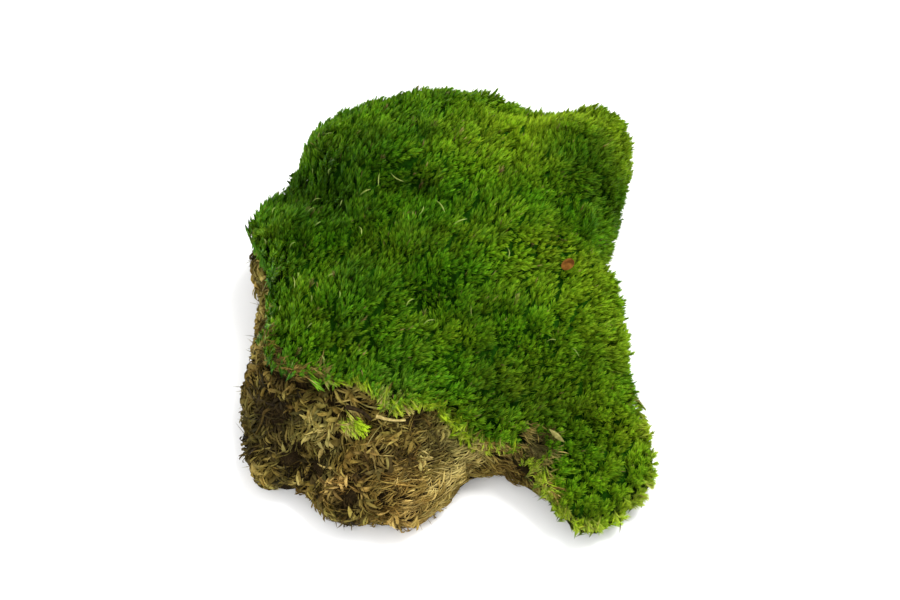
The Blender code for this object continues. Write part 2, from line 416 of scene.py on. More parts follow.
@dataclass
class Growth:
    """The parts of a grown piece: its points, its triangles and what its materials read.

    growth holds how far along its leaf or stem a point is, a random value for that leaf, and how
    lime green, how pale or, for the understorey, how brown it is. The other vector holds how dry or
    how olive it is, its painted shade, and how tan.
    """

    places: np.ndarray
    triangles: np.ndarray
    growth: np.ndarray
    wear_and_painted_shade: np.ndarray

    @classmethod
    def joined(cls, parts: list["Growth"]) -> "Growth":
        """Several grown parts as one.

        Args:
            parts: The parts.

        Returns:
            One growth with all their points and triangles.
        """
        starts = np.cumsum([0] + [len(part.places) for part in parts[:-1]])
        return cls(
            np.concatenate([part.places for part in parts]),
            np.concatenate([part.triangles + start for part, start in zip(parts, starts)]),
            np.concatenate([part.growth for part in parts]),
            np.concatenate([part.wear_and_painted_shade for part in parts]),
        )

    @classmethod
    def repeated(cls, points: np.ndarray, pattern: np.ndarray, along: np.ndarray,
                 growth: np.ndarray, wear_and_painted_shade: np.ndarray) -> "Growth":
        """Many shapes of the same build as one.

        Args:
            points: The shapes' points, one shape a row.
            pattern: The triangles of one shape.
            along: How far along the shape each of its points is, from 0 to 1.
            growth: Each shape's growth values, of which the first gives way to along.
            wear_and_painted_shade: Each shape's wear values.

        Returns:
            All the shapes, with their own values at each point.
        """
        count, size, _ = points.shape
        triangles = np.arange(count)[:, None, None] * size + pattern
        growth = np.repeat(growth[:, None], size, axis=1)
        growth[..., 0] = along
        wear_and_painted_shade = np.repeat(wear_and_painted_shade[:, None], size, axis=1)
        return cls(*(rows.reshape(-1, 3) for rows in (points, triangles, growth, wear_and_painted_shade)))

    def made(self, name: str, slot: str, finish: Material, smooth: bool) -> bpy.types.Object:
        """Makes the mesh object, dresses it and lets it ride on the clump's one body.

        Args:
            name: The piece's name.
            slot: The record's material slot that the finish belongs to. It is not used.
            finish: The material.
            smooth: Whether the faces are shaded smooth.

        Returns:
            The new object, with its place in its mesh.
        """
        mesh = bpy.data.meshes.new(name)
        mesh.vertices.add(len(self.places))
        mesh.vertices.foreach_set("co", self.places.astype(np.float32).ravel())
        mesh.loops.add(self.triangles.size)
        mesh.loops.foreach_set("vertex_index", self.triangles.astype(np.int32).ravel())
        mesh.polygons.add(len(self.triangles))
        starts = np.arange(0, self.triangles.size, 3, dtype=np.int32)
        mesh.polygons.foreach_set("loop_start", starts)
        mesh.polygons.foreach_set("use_smooth", np.full(len(self.triangles), smooth))
        for channel, values in ((Channel.GROWTH, self.growth), (Channel.WEAR_AND_PAINTED_SHADE, self.wear_and_painted_shade)):
            made = mesh.attributes.new(channel.value, "FLOAT_VECTOR", "POINT")
            made.data.foreach_set("vector", values.astype(np.float32).ravel())
        mesh.update(calc_edges=True)
        mesh.materials.append(finish)
        piece = bpy.data.objects.new(name, mesh)
        bpy.context.scene.collection.objects.link(piece)
        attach(piece, "root")
        LOG.info("%s: %d triangles", name, len(self.triangles))
        return piece


@dataclass
class Leaves:
    """Small lance-shaped leaves, one a row: a base, a tip and the way the upper face looks.

    widest says how far along the leaf it is widest, and floor_gap how low its points may come.
    """

    base: np.ndarray
    tip: np.ndarray
    face: np.ndarray
    width: np.ndarray
    curl: np.ndarray
    growth: np.ndarray
    wear_and_painted_shade: np.ndarray
    widest: float = 0.45
    floor_gap: float = 0.2 * MM

    def grown(self) -> Growth:
        """The leaves as closed keeled blades of four triangles each.

        A blade has a base point, two edge points a little short of half way and a tip point. The
        edge points stand half a width to either side, and off the line from base to tip, along the
        upper face's normal, by the curl, a share of the length. So the upper side is bent over the
        edge points, the under side has a keel along that line, and the tip bends outwards. No point
        is let below the floor.

        Returns:
            The blades' points, triangles and attributes.
        """
        run = self.tip - self.base
        length = np.linalg.norm(run, axis=1, keepdims=True)
        along = run / np.maximum(length, 1e-9)
        side = unit(np.cross(self.face, along))
        middle = self.base + self.widest * run + np.cross(along, side) * self.curl[:, None] * length
        half = 0.5 * side * self.width[:, None]
        points = np.stack([self.base, middle + half, middle - half, self.tip], axis=1)
        points[..., 2] = np.maximum(points[..., 2], self.floor_gap)
        pattern = np.array([(0, 2, 1), (1, 2, 3), (0, 1, 3), (0, 3, 2)])
        return Growth.repeated(points, pattern, np.array([0.0, 0.5, 0.5, 1.0]), self.growth, self.wear_and_painted_shade)


@dataclass
class Strands:
    """Stems, hairs or long blades: paths of points, one a row, with a width along each."""

    paths: np.ndarray
    above: np.ndarray
    width: np.ndarray
    thickness: float
    growth: np.ndarray
    wear_and_painted_shade: np.ndarray

    def grown(self) -> Growth:
        """The strands as closed three-sided tubes that come to a point at both ends.

        Each inner point of a path carries a triangle square to the path: two corners half a width
        to either side, and one above by the thickness, a share of the width.

        Returns:
            The tubes' points, triangles and attributes.
        """
        count, steps, _ = self.paths.shape
        along = unit(np.gradient(self.paths, axis=1))
        side = unit(np.cross(along, self.above))
        above = np.cross(side, along)
        inner = slice(1, steps - 1)
        half = 0.5 * (side * self.width[..., None])[:, inner]
        crest = self.thickness * (above * self.width[..., None])[:, inner]
        line = self.paths[:, inner]
        rings = np.stack([line + half, line - half, line + crest], axis=2).reshape(count, -1, 3)
        points = np.concatenate([self.paths[:, :1], rings, self.paths[:, -1:]], axis=1)
        corner = np.arange(3)
        following = (corner + 1) % 3
        ring = 1 + 3 * np.arange(steps - 3)[:, None]
        a, b = ring + corner, ring + following
        last = 1 + 3 * (steps - 3)
        pattern = np.concatenate([
            np.stack([np.zeros(3, int), 1 + following, 1 + corner], axis=1),
            np.stack([a, b, b + 3], axis=-1).reshape(-1, 3),
            np.stack([a, b + 3, a + 3], axis=-1).reshape(-1, 3),
            np.stack([last + corner, last + following, np.full(3, last + 3)], axis=1),
        ])
        share = np.concatenate([[0], np.repeat(np.linspace(0, 1, steps)[inner], 3), [1]])
        return Growth.repeated(points, pattern, share, self.growth, self.wear_and_painted_shade)


class Graph:
    """A material's node tree, with short ways to add the few kinds of node that the finishes use."""

    def __init__(self, name: str) -> None:
        """Starts a material with its Principled shader and output in place.

        Args:
            name: The material's name.
        """
        self.material = bpy.data.materials.new(name)
        self.material.use_nodes = True
        self.tree = self.material.node_tree
        self.shader = self.tree.nodes["Principled BSDF"]
        self.output = self.tree.nodes["Material Output"]

    def add(self, kind: str, **values: object) -> bpy.types.Node:
        """A new node with its properties set.

        Args:
            kind: The node's type.
            values: Its properties by name.

        Returns:
            The node.
        """
        node = self.tree.nodes.new(kind)
        for name, value in values.items():
            setattr(node, name, value)
        return node

    def join(self, source: Socket, target: Socket) -> None:
        """Links one socket to another."""
        self.tree.links.new(source, target)

    def channel(self, channel: Channel) -> list[Socket]:
        """The three numbers of one of the piece's vector attributes.

        Args:
            channel: The attribute.

        Returns:
            A socket for each number.
        """
        source = self.add("ShaderNodeAttribute", attribute_name=channel.value)
        split = self.add("ShaderNodeSeparateXYZ")
        self.join(source.outputs["Vector"], split.inputs[0])
        return list(split.outputs)

    def noise(self, scale: float, detail: float = 3.0, rough: float = 0.55) -> Socket:
        """Noise on the piece's own coordinates, its scale counted in waves to a metre.

        Args:
            scale: Waves to a metre.
            detail: How many finer layers are added.
            rough: How strong the finer layers are.

        Returns:
            The noise, about 0.5 on average.
        """
        where = self.add("ShaderNodeTexCoord")
        node = self.add("ShaderNodeTexNoise")
        node.inputs["Scale"].default_value = scale
        node.inputs["Detail"].default_value = detail
        node.inputs["Roughness"].default_value = rough
        self.join(where.outputs["Object"], node.inputs["Vector"])
        return node.outputs["Fac"]

    def ramp(self, value: Socket, stops: Stops) -> Socket:
        """A colour ramp read at a value.

        Args:
            value: The value.
            stops: The ramp's places and colours.

        Returns:
            The colour.
        """
        node = self.add("ShaderNodeValToRGB")
        ramp = node.color_ramp
        while len(ramp.elements) < len(stops):
            ramp.elements.new(1.0)
        for element, (position, colour) in zip(ramp.elements, stops):
            element.position = position
            element.color = (*colour, 1.0)
        self.join(value, node.inputs["Fac"])
        return node.outputs["Color"]

    def scaled(self, value: Socket, given: Range, wanted: Range) -> Socket:
        """A value whose given range is stretched to the wanted one and held inside it.

        Args:
            value: The value.
            given: The range that the value has.
            wanted: The range that it gets.

        Returns:
            The new value.
        """
        node = self.add("ShaderNodeMapRange")
        for name, number in zip(("From Min", "From Max", "To Min", "To Max"), (*given, *wanted)):
            node.inputs[name].default_value = number
        self.join(value, node.inputs["Value"])
        return node.outputs["Result"]

    def maths(self, operation: Operation, a: Socket, b: Socket | float) -> Socket:
        """Two values put together by one operation.

        Args:
            operation: What is done with them.
            a: The first value.
            b: The second, a socket or a number.

        Returns:
            The result.
        """
        node = self.add("ShaderNodeMath", operation=operation.value)
        self.join(a, node.inputs[0])
        if isinstance(b, float):
            node.inputs[1].default_value = b
        else:
            self.join(b, node.inputs[1])
        return node.outputs[0]

    def mixed(self, share: Socket, a: Socket, b: Socket) -> Socket:
        """Two colours mixed by a share, 0 for the first and 1 for the second.

        Args:
            share: The second colour's share.
            a: The first colour.
            b: The second colour.

        Returns:
            The mixed colour.
        """
        node = self.add("ShaderNodeMix", data_type="RGBA")
        self.join(share, node.inputs[0])
        self.join(a, node.inputs[6])
        self.join(b, node.inputs[7])
        return node.outputs[2]

    def lit(self, colour: Socket, *lights: Socket) -> Socket:
        """A colour multiplied by each of several numbers.

        Args:
            colour: The colour.
            lights: The numbers.

        Returns:
            The brighter or darker colour.
        """
        light = lights[0]
        for other in lights[1:]:
            light = self.maths(Operation.MULTIPLY, light, other)
        node = self.add("ShaderNodeVectorMath", operation="SCALE")
        self.join(colour, node.inputs[0])
        self.join(light, node.inputs["Scale"])
        return node.outputs[0]

    def surfaced(self, colour: Socket, roughness: float, shine: float = 0.5) -> None:
        """Gives the shader its colour, roughness and specular level.

        Args:
            colour: The base colour.
            roughness: How matt it is, from 0 to 1.
            shine: The specular level, 0.5 for common materials.
        """
        self.join(colour, self.shader.inputs["Base Color"])
        self.shader.inputs["Roughness"].default_value = roughness
        self.shader.inputs["Specular IOR Level"].default_value = shine

    def bumped(self, height: Socket, strength: float, distance: float) -> None:
        """Raises the surface by a height, for its shading only.

        Args:
            height: The height, from 0 to 1.
            strength: How far the effect is used.
            distance: What a height of 1 stands for, in metres.
        """
        node = self.add("ShaderNodeBump")
        node.inputs["Strength"].default_value = strength
        node.inputs["Distance"].default_value = distance
        self.join(height, node.inputs["Height"])
        self.join(node.outputs["Normal"], self.shader.inputs["Normal"])

    def glowing_through(self, colour: Socket, share: float) -> None:
        """Lets part of the light through the piece, as thin leaves do.

        Args:
            colour: The colour of the light that comes through.
            share: How much of it does.
        """
        through = self.add("ShaderNodeBsdfTranslucent")
        self.join(colour, through.inputs["Color"])
        both = self.add("ShaderNodeMixShader")
        both.inputs[0].default_value = share
        self.join(self.shader.outputs[0], both.inputs[1])
        self.join(through.outputs[0], both.inputs[2])
        self.join(both.outputs[0], self.output.inputs["Surface"])


@dataclass(frozen=True)
class MossLeafFinish:
    """Living leaves: dark at the base and lighter at the tip, deep green to lime, a few dry.

    patches is the scale of the soft patches that differ in brightness by patch_light, chance_light
    is what a leaf's random value does, and shade_light what is left of it from no to full shade.
    """

    name: str = "moss_leaf"
    deep: Stops = evenly((0.005, 0.032, 0.001), (0.037, 0.140, 0.002), (0.125, 0.345, 0.008))
    lime: Stops = evenly((0.034, 0.062, 0.001), (0.210, 0.310, 0.005), (0.440, 0.550, 0.025))
    dry: Stops = evenly((0.050, 0.030, 0.007), (0.180, 0.120, 0.034), (0.410, 0.320, 0.130))
    patches: float = 110.0
    patch_light: Range = (0.80, 1.20)
    chance_light: Range = (0.55, 1.75)
    shade_light: Range = (1.0, 0.2)
    roughness: float = 0.5
    shine: float = 0.12
    grain: float = 3200.0
    bump: Range = (0.25, 0.0002)
    see_through: float = 0.3

    def material(self) -> Material:
        """Builds the material: ramps along the leaf, mixed by its lime share and its dryness.

        Returns:
            The new material.
        """
        graph = Graph(self.name)
        along, chance, lime = graph.channel(Channel.GROWTH)
        # The second attribute holds dryness, painted shade and an unused value.
        dryness, shade, _ = graph.channel(Channel.WEAR_AND_PAINTED_SHADE)
        colour = graph.mixed(lime, graph.ramp(along, self.deep), graph.ramp(along, self.lime))
        colour = graph.mixed(dryness, colour, graph.ramp(along, self.dry))
        colour = graph.lit(
            colour,
            graph.scaled(chance, (0.0, 1.3), self.chance_light),
            graph.scaled(graph.noise(self.patches), (0.3, 0.7), self.patch_light),
            graph.scaled(shade, (0.0, 1.0), self.shade_light),
        )
        graph.surfaced(colour, self.roughness, self.shine)
        graph.bumped(graph.noise(self.grain, 2.0), *self.bump)
        graph.glowing_through(colour, self.see_through)
        return graph.material


@dataclass(frozen=True)
class UnderstoreyFinish:
    """The dark depth between shoots: old shaded green leaves, and brown dead ones."""

    name: str = "moss_understorey"
    green: Stops = (
        (0.25, (0.003, 0.018, 0.001)), (0.55, (0.010, 0.050, 0.001)), (0.8, (0.030, 0.090, 0.002))
    )
    brown: Stops = (
        (0.25, (0.005, 0.004, 0.001)), (0.55, (0.014, 0.010, 0.003)), (0.8, (0.045, 0.033, 0.010))
    )
    grain: float = 900.0
    bump: Range = (1.0, 0.0012)

    def material(self) -> Material:
        """Builds the material from fine noise through two ramps, with a deep bump.

        Returns:
            The new material.
        """
        graph = Graph(self.name)
        fine = graph.noise(self.grain, 4.0, 0.65)
        _, _, dead = graph.channel(Channel.GROWTH)
        colour = graph.mixed(dead, graph.ramp(fine, self.green), graph.ramp(fine, self.brown))
        graph.surfaced(colour, 0.9, 0.02)
        graph.bumped(fine, *self.bump)
        return graph.material


@dataclass(frozen=True)
class DeadStemFinish:
    """Dead stems and leaves: dark brown to straw, each its own shade, darker at the base.

    streak is how far the streaks of the given scale change the paleness, and the three lights are
    the brightness over a stem's random value, along it to half way, and from no to full shade.
    """

    name: str = "dead_stem"
    shades: Stops = evenly(
        (0.010, 0.006, 0.001), (0.044, 0.025, 0.004), (0.140, 0.093, 0.015), (0.300, 0.222, 0.046),
        (0.520, 0.415, 0.140),
    )
    olive: Stops = evenly((0.015, 0.015, 0.002), (0.104, 0.095, 0.015), (0.340, 0.325, 0.075))
    tan: Stops = evenly((0.030, 0.013, 0.002), (0.225, 0.120, 0.022), (0.520, 0.345, 0.100))
    streaks: float = 1500.0
    streak: Range = (-0.10, 0.10)
    chance_light: Range = (0.75, 1.2)
    base_light: Range = (0.45, 1.0)
    shade_light: Range = (1.0, 0.2)
    roughness: float = 0.66
    shine: float = 0.09
    grain: float = 2600.0
    bump: Range = (0.35, 0.0003)
    see_through: float = 0.12

    def material(self) -> Material:
        """Builds the material: the paleness picks the shade, and olive and tan are mixed in.

        Returns:
            The new material.
        """
        graph = Graph(self.name)
        along, chance, pale = graph.channel(Channel.GROWTH)
        # The second attribute holds the olive share, painted shade and the tan share.
        olive, shade, tan = graph.channel(Channel.WEAR_AND_PAINTED_SHADE)
        streak = graph.scaled(graph.noise(self.streaks), (0.3, 0.7), self.streak)
        tone = graph.maths(Operation.ADD, pale, streak)
        colour = graph.mixed(olive, graph.ramp(tone, self.shades), graph.ramp(tone, self.olive))
        colour = graph.mixed(tan, colour, graph.ramp(tone, self.tan))
        colour = graph.lit(
            colour,
            graph.scaled(chance, (0.0, 1.0), self.chance_light),
            graph.scaled(along, (0.0, 0.5), self.base_light),
            graph.scaled(shade, (0.0, 1.0), self.shade_light),
        )
        graph.surfaced(colour, self.roughness, self.shine)
        graph.bumped(graph.noise(self.grain, 2.0), *self.bump)
        graph.glowing_through(colour, self.see_through)
        return graph.material


@dataclass(frozen=True)
class FeltFinish:
    """The mat's matted depth: dark peat brown, with lighter threads."""

    name: str = "mat_felt"
    stops: Stops = (
        (0.28, (0.007, 0.004, 0.001)),
        (0.5, (0.025, 0.015, 0.004)),
        (0.68, (0.065, 0.042, 0.012)),
        (0.85, (0.130, 0.090, 0.030)),
    )
    threads: float = 1400.0
    clots: float = 180.0
    thread_share: float = 0.7
    bump: Range = (1.0, 0.0015)

    def material(self) -> Material:
        """Builds the material from coarse and fine noise through a ramp, with a deep bump.

        Returns:
            The new material.
        """
        graph = Graph(self.name)
        fine = graph.noise(self.threads, 5.0, 0.7)
        coarse = graph.noise(self.clots, 2.0)
        both = graph.maths(
            Operation.ADD,
            graph.maths(Operation.MULTIPLY, fine, self.thread_share),
            graph.maths(Operation.MULTIPLY, coarse, 1 - self.thread_share),
        )
        graph.surfaced(graph.ramp(both, self.stops), 0.95, 0.1)
        graph.bumped(fine, *self.bump)
        return graph.material


@dataclass(frozen=True)
class LitterFinish:
    """A dry loose piece: a base colour and a darker one in fine streaks and spots."""

    name: str
    light: Colour
    dark: Colour
    roughness: float
    grain: float
    shine: float = 0.1
    bump: Range = (0.5, 0.0003)

    def material(self) -> Material:
        """Builds the material from noise between the two colours, with a light bump.

        Returns:
            The new material.
        """
        graph = Graph(self.name)
        grain = graph.noise(self.grain, 4.0, 0.6)
        colour = graph.ramp(grain, ((0.35, self.dark), (0.62, self.light)))
        graph.surfaced(colour, self.roughness, self.shine)
        graph.bumped(grain, *self.bump)
        return graph.material


@dataclass(frozen=True)
class PaleFloorFinish:
    """A plain pale studio floor with a trace of unevenness."""

    name: str = "studio_floor"
    tones: Stops = evenly((0.86, 0.86, 0.86), (0.88, 0.88, 0.88))

    def material(self) -> Material:
        """Builds the material: near white, matt, its brightness varied by about one per cent.

        Returns:
            The new material.
        """
        graph = Graph(self.name)
        graph.surfaced(graph.ramp(graph.noise(6.0, 2.0), self.tones), 0.9)
        return graph.material


@dataclass(frozen=True)
class Rosettes:
    """How a kind of shoot is built: its leaves' count, length and width, and how wide it opens.

    The leaves' tips fall by up to the given length below the shoot's, and one_sided says how far
    all bend to the side that the shoot is swept to. rare_dry is the share of leaves that are dry.
    """

    leaves: int
    length: float
    width: float
    opening: float
    fall: float
    one_sided: float
    rare_dry: float = 0.005

    def grown(self, spots: Spots, axes: np.ndarray, sweeps: np.ndarray, growth: np.ndarray,
              wear_and_painted_shade: np.ndarray, rng: np.random.Generator) -> Growth:
        """Leafy shoots whose leaf tips lie on a dome over each spot.

        Leaf k stands at k golden turns round the shoot's axis, and then bends to the swept side. Its
        tip is out from the axis by the opening times the square root of its share of the count, and
        below the spot by the fall times that share. Its base lies on the axis, at the depth that
        gives its length.

        Args:
            spots: The shoots' tips, on the surface that they reach.
            axes: The way each shoot points.
            sweeps: The way each shoot's leaves are swept, about a unit long.
            growth: Each shoot's growth values, of which the first is unused.
            wear_and_painted_shade: Each shoot's wear values.
            rng: The source of chance.

        Returns:
            All the shoots' leaves.
        """
        count = len(spots)
        shape = (count, self.leaves)
        share = (np.arange(self.leaves) + 0.5) / self.leaves
        turn = np.arange(self.leaves) * GOLDEN_TURN + rng.uniform(0, 2 * math.pi, (count, 1))
        turn = (turn + rng.normal(0, 0.25, shape))[..., None]
        across = unit(np.cross(axes, unit(rng.normal(size=(count, 3)))))[:, None]
        axis = axes[:, None]
        outward = np.cos(turn) * across + np.sin(turn) * np.cross(axis, across)
        swept = sweeps - axes * (sweeps * axes).sum(axis=1, keepdims=True)
        outward = unit(outward + self.one_sided * swept[:, None])
        size = rng.uniform(0.8, 1.2, (count, 1))
        length = self.length * size * (0.75 + 0.35 * share) * rng.uniform(0.8, 1.2, shape)
        out = self.opening * size * np.sqrt(share) * rng.uniform(0.6, 1.3, shape)
        lean = np.arcsin(np.clip(out / length, 0, 0.9))[..., None]
        drop = self.fall * share * rng.uniform(0.5, 1.5, shape) + rng.normal(0, 0.25 * MM, shape)
        along = axis * np.cos(lean) + outward * np.sin(lean)
        tip = spots.places[:, None] + outward * out[..., None] - axis * drop[..., None]
        base = tip - along * length[..., None]
        face = np.cross(along, np.cross(axis, outward)) + 0.4 * rng.normal(size=(*shape, 3))
        each = np.repeat(growth[:, None], self.leaves, axis=1)
        each[..., 1] = np.clip(0.8 * each[..., 1] + 0.45 * (rng.random(shape) - 0.3), 0, 1.3)
        each[..., 2] = np.clip(each[..., 2] + rng.normal(0, 0.12, shape), 0, 1)
        leaf_wear_and_shade = np.repeat(wear_and_painted_shade[:, None], self.leaves, axis=1)
        dry = leaf_wear_and_shade[..., 0] * rng.uniform(0, 2, shape) + (rng.random(shape) > 1 - self.rare_dry)
        leaf_wear_and_shade[..., 0] = np.clip(dry, 0, 1)
        return Leaves(
            base.reshape(-1, 3),
            tip.reshape(-1, 3),
            unit(face).reshape(-1, 3),
            (self.width * rng.uniform(0.75, 1.25, shape)).ravel(),
            rng.uniform(0.03, 0.13, shape).ravel(),
            each.reshape(-1, 3),
            leaf_wear_and_shade.reshape(-1, 3),
        ).grown()


@dataclass(frozen=True)
class Turf:
    """How shoots of one kind stand together, in heads with gaps between them.

    Lean is how far they lean out of their head, sweep how far they are swept to one side, and the
    gap's depth and shade are what a shoot in the middle of a gap is lowered and darkened by, the
    darkening being painted shade. The gap's width is the difference between the distances to two
    heads at which it ends.
    """

    shoots: Rosettes
    spacing: float
    head_spacing: float
    lean: float
    sweep: float
    gap_depth: float
    gap_shade: float
    gap_width: float = 3.0 * MM


def lobe_hollow(places: np.ndarray) -> np.ndarray:
    """How far each point is in the round dark hollow where the low lobe leaves the cushion."""
    return fade(away_from(places, 26, -52), 5.8, 3.2)


def lobe_border(places: np.ndarray) -> np.ndarray:
    """How near each point is to the lobe's left edge, in front of the hollow, from 0 to 1.

    Args:
        places: Points, the last axis holding x, y and z.

    Returns:
        A value from 0 to 1 for each point.
    """
    x, y = places[..., 0], places[..., 1]
    forward, right = np.array([(53.0, 60.0, 70.0, 78.0), (22.0, 26.5, 33.5, 39.0)]) * MM
    edge = np.interp(-y, forward, right)
    near = ease(x, edge + 4 * MM, edge + 1 * MM) * fade(y, -50, -53) * fade(y, -68, -63)
    return near * (1 - 0.6 * hump(places, 31, -57.5, 3.5))


def bare_share(places: np.ndarray, cushion: Outline) -> np.ndarray:
    """How bare of living shoots the cushion is: at the lobe's hollow and edge and the rim's left end.

    Args:
        places: Points, the last axis holding x, y and z.
        cushion: The cushion's outline.

    Returns:
        The share for each point, from 0 to 1.
    """
    low = fade(cushion.above_rim(places), 7.5, 4.5) * fade(cushion.inside(places), 7, 3.5)
    left = low * fade(places[..., 0], -36, -43) * fade(places[..., 1], -16, -24)
    return np.maximum(np.maximum(lobe_hollow(places), 0.45 * lobe_border(places)), left)


@dataclass
class LivingCushion:
    """The green cushion: a dark understorey and the leafy shoots that stand on it.

    The understorey lies the depth below the solid's surface, and rim_inset further in at the rim.
    The shoots' tips reach out of the surface by reach_out. Bells paint shade on the shoots (dips),
    change how bright they are (tones) and how lime green (hues). The lobe's middle is in
    millimetres. The tried counts say how many random spots the shoots and the heads are chosen from.
    """

    tried_spots: int = 90000
    tried_heads: int = 6000
    depth: float = 3.4 * MM
    rim_inset: float = 3.2 * MM
    reach_out: float = 0.9 * MM
    sweep_way: Triple = (0.96, 0.28, 0.0)
    main: Turf = Turf(
        Rosettes(20, 4.6 * MM, 0.42 * MM, 1.35 * MM, 2.6 * MM, 1.0),
        1.35 * MM, 7.0 * MM, 0.14, 0.52, 0.6 * MM, 0.15,
    )
    lobe: Turf = Turf(
        Rosettes(24, 3.8 * MM, 0.42 * MM, 1.45 * MM, 1.9 * MM, 0.50),
        1.3 * MM, 5.6 * MM, 0.20, 0.42, 1.2 * MM, 0.42,
    )
    # Painted shade: bells that darken the shoots in dips and hollows, the lobe's hollow among them.
    dips: tuple[Bell, ...] = (
        (-15, 29, 4, 0.6), (-7.6, 28, 4, 0.6), (-8, 45.6, 4, 0.6), (-6, -14, 2.5, 0.15),
        (27.5, -52, 4, 0.8), (-46, 14, 4, 0.4), (12, -30, 4, 0.35), (33, 5, 3.5, 0.35),
        (-24, -14, 3.5, 0.35), (53.5, -57.5, 2.5, 0.5), (42, -70, 2.5, 0.5), (40, -52, 3, 0.3),
    )
    tones: tuple[Bell, ...] = (
        (-17, -46, 7, 0.5), (-25, -42, 7, 0.3), (21, -51.5, 4, 0.8), (30.5, -57.5, 4, 0.6), (7, 30, 9, 0.5),
        (14.5, -5, 8, 0.5), (-23, 43, 9, -0.4), (-27, 4, 8, -0.35), (-7.6, 5, 7, -0.35), (-7.6, -15, 6, 0.55),
        (33, -10, 9, 0.4), (51, -14, 7, 0.3), (-27, -26, 6, -0.3), (-43, -33, 7, 0.5), (2, -33, 6, 0.4),
        (-7.6, -45, 6, 0.55), (12, -41, 6, -0.4), (18, -48, 5, 0.5), (38, -45, 7, -0.5), (46, -53, 6, -0.25),
        (41, -62, 5, 0.45), (51, -34, 7, 0.45), (46, 37, 9, 0.3), (-17, 20, 6, 0.3), (23, 16, 7, 0.3),
        (62, -57, 5, 0.35), (46, -66, 3, 0.3), (50, -73, 4, 0.3), (-7.6, 42, 6, 0.35), (32, 29, 9, 0.3),
        (-18, -15, 5, -0.2), (25, -22, 9, 0.4), (7, -45, 5, 0.35), (22, -38, 5, -0.4),
        (41, -44, 6, -0.3), (-7.6, -23, 5, -0.3), (-58, 2, 7, 0.5), (-58, -12, 7, 0.45), (-22, 49, 6, -0.3),
        (12, -15, 6, -0.35), (38, -28, 6, 0.35), (36, -54, 5, 0.3), (51, -42, 5, -0.25), (46, 48, 6, -0.2),
        (-37, 9, 6, 0.3), (-14, 4, 6, 0.2), (-14, -22, 6, 0.15), (46, 38, 6, -0.2), (36, 38, 5, -0.15),
    )
    hues: tuple[Bell, ...] = (
        (-4, -46, 9, 0.28), (8, -45, 5, 0.15), (10, 30, 8, 0.10), (14, -8, 9, 0.15), (20, -48, 5, 0.20),
        (36, -45, 8, -0.25), (45, -52, 6, -0.15),
    )
    lobe_middle: tuple[float, float] = (49, -60)
    lobe_reach: float = 23 * MM

    def build(self) -> None:
        """Builds the understorey and the shoots in four quarters and a lobe."""
        rng = np.random.default_rng(11)
        skin = Skin.of("moss_cushion")
        self.outline = Outline.of(skin)
        self.build_understorey(skin)
        spots = self.living(skin.scattered(self.tried_spots, rng), rng)
        on_lobe = self.on_lobe(spots.places) > rng.uniform(0.2, 0.8, len(spots))
        leaf = MossLeafFinish().material()
        heads = spots.kept(slice(0, self.tried_heads)).spaced(self.main.head_spacing, rng)
        main = spots.kept(~on_lobe).spaced(self.main.spacing, rng)
        turn = np.arctan2(main.places[:, 1], main.places[:, 0])
        number = (turn // (math.pi / 2)).astype(int) % len(Quarter)
        for quarter in Quarter:
            piece = self.shoots_on(main.kept(number == quarter.value), heads, self.main, rng)
            piece.made(f"moss_shoots_{quarter.name.lower()}", "living_moss", leaf, False)
        heads = spots.kept(on_lobe).spaced(self.lobe.head_spacing, rng)
        lobe = spots.kept(on_lobe).spaced(self.lobe.spacing, rng)
        piece = self.shoots_on(lobe, heads, self.lobe, rng)
        piece.made("moss_shoots_lobe", "living_moss", leaf, False)
        LOG.info("%d shoots and %d on the lobe", len(main), len(lobe))

    def living(self, spots: Spots, rng: np.random.Generator) -> Spots:
        """The spots that may carry shoots: facing down only near the rim, and fewer where it is bare.

        Args:
            spots: Spots all over the cushion.
            rng: The source of chance.

        Returns:
            Those that are left.
        """
        inside = self.outline.inside(spots.places)
        rising = spots.normals[:, 2]
        notch = hump(spots.places, 22, -55, 6) > 0.3
        under = (rising > -0.9) & (notch | (inside < (5 - 3 * self.on_lobe(spots.places)) * MM))
        spots = spots.kept((rising > -0.3) | under)
        return spots.kept(bare_share(spots.places, self.outline) < rng.uniform(0.25, 0.85, len(spots)))

    def build_understorey(self, skin: Skin) -> None:
        """The dark surface between the shoots: the solid's, sunk by the depth and made uneven.

        Args:
            skin: The solid's surface.
        """
        fine = skin.finer()
        sunk = self.depth + 0.7 * MM * waves(fine.places, 9 * MM, 3) + 2.5 * MM * lobe_hollow(fine.places)
        sunk *= ease(fine.normals[:, 2], -0.1, 0.4)
        inset = self.rim_inset * fade(self.outline.inside(fine.places), 7, 0)
        inset *= 1 - 0.35 * self.on_lobe(fine.places)
        plan = unit(fine.places * (1, 1, 0))
        places = fine.places - fine.normals * sunk[:, None] - plan * inset[:, None]
        growth = np.zeros_like(places)
        bare = bare_share(places, self.outline)
        edge = fade(self.outline.above_rim(places), 3, 1) * (1 - self.on_lobe(places))
        growth[:, 2] = np.clip(2.0 * bare + 0.8 * self.front_rim(places) + edge, 0, 1)
        core = Growth(places, fine.triangles, growth, np.zeros_like(growth))
        piece = core.made("moss_understorey", "living_moss", UnderstoreyFinish().material(), True)
        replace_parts(piece, "moss_cushion")

    def on_lobe(self, places: np.ndarray) -> np.ndarray:
        """How far each point belongs to the low lobe, from 0 to 1."""
        away = away_from(places, *self.lobe_middle)
        return ease(away, self.lobe_reach + 6 * MM, self.lobe_reach - 5 * MM)

    def front_rim(self, places: np.ndarray) -> np.ndarray:
        """How near each point is to the front rim over the brown wall, from 0 to 1."""
        near = fade(self.outline.above_rim(places), 7, 1) * fade(self.outline.inside(places), 9, 2)
        return near * fade(places[..., 1], -22, -38)

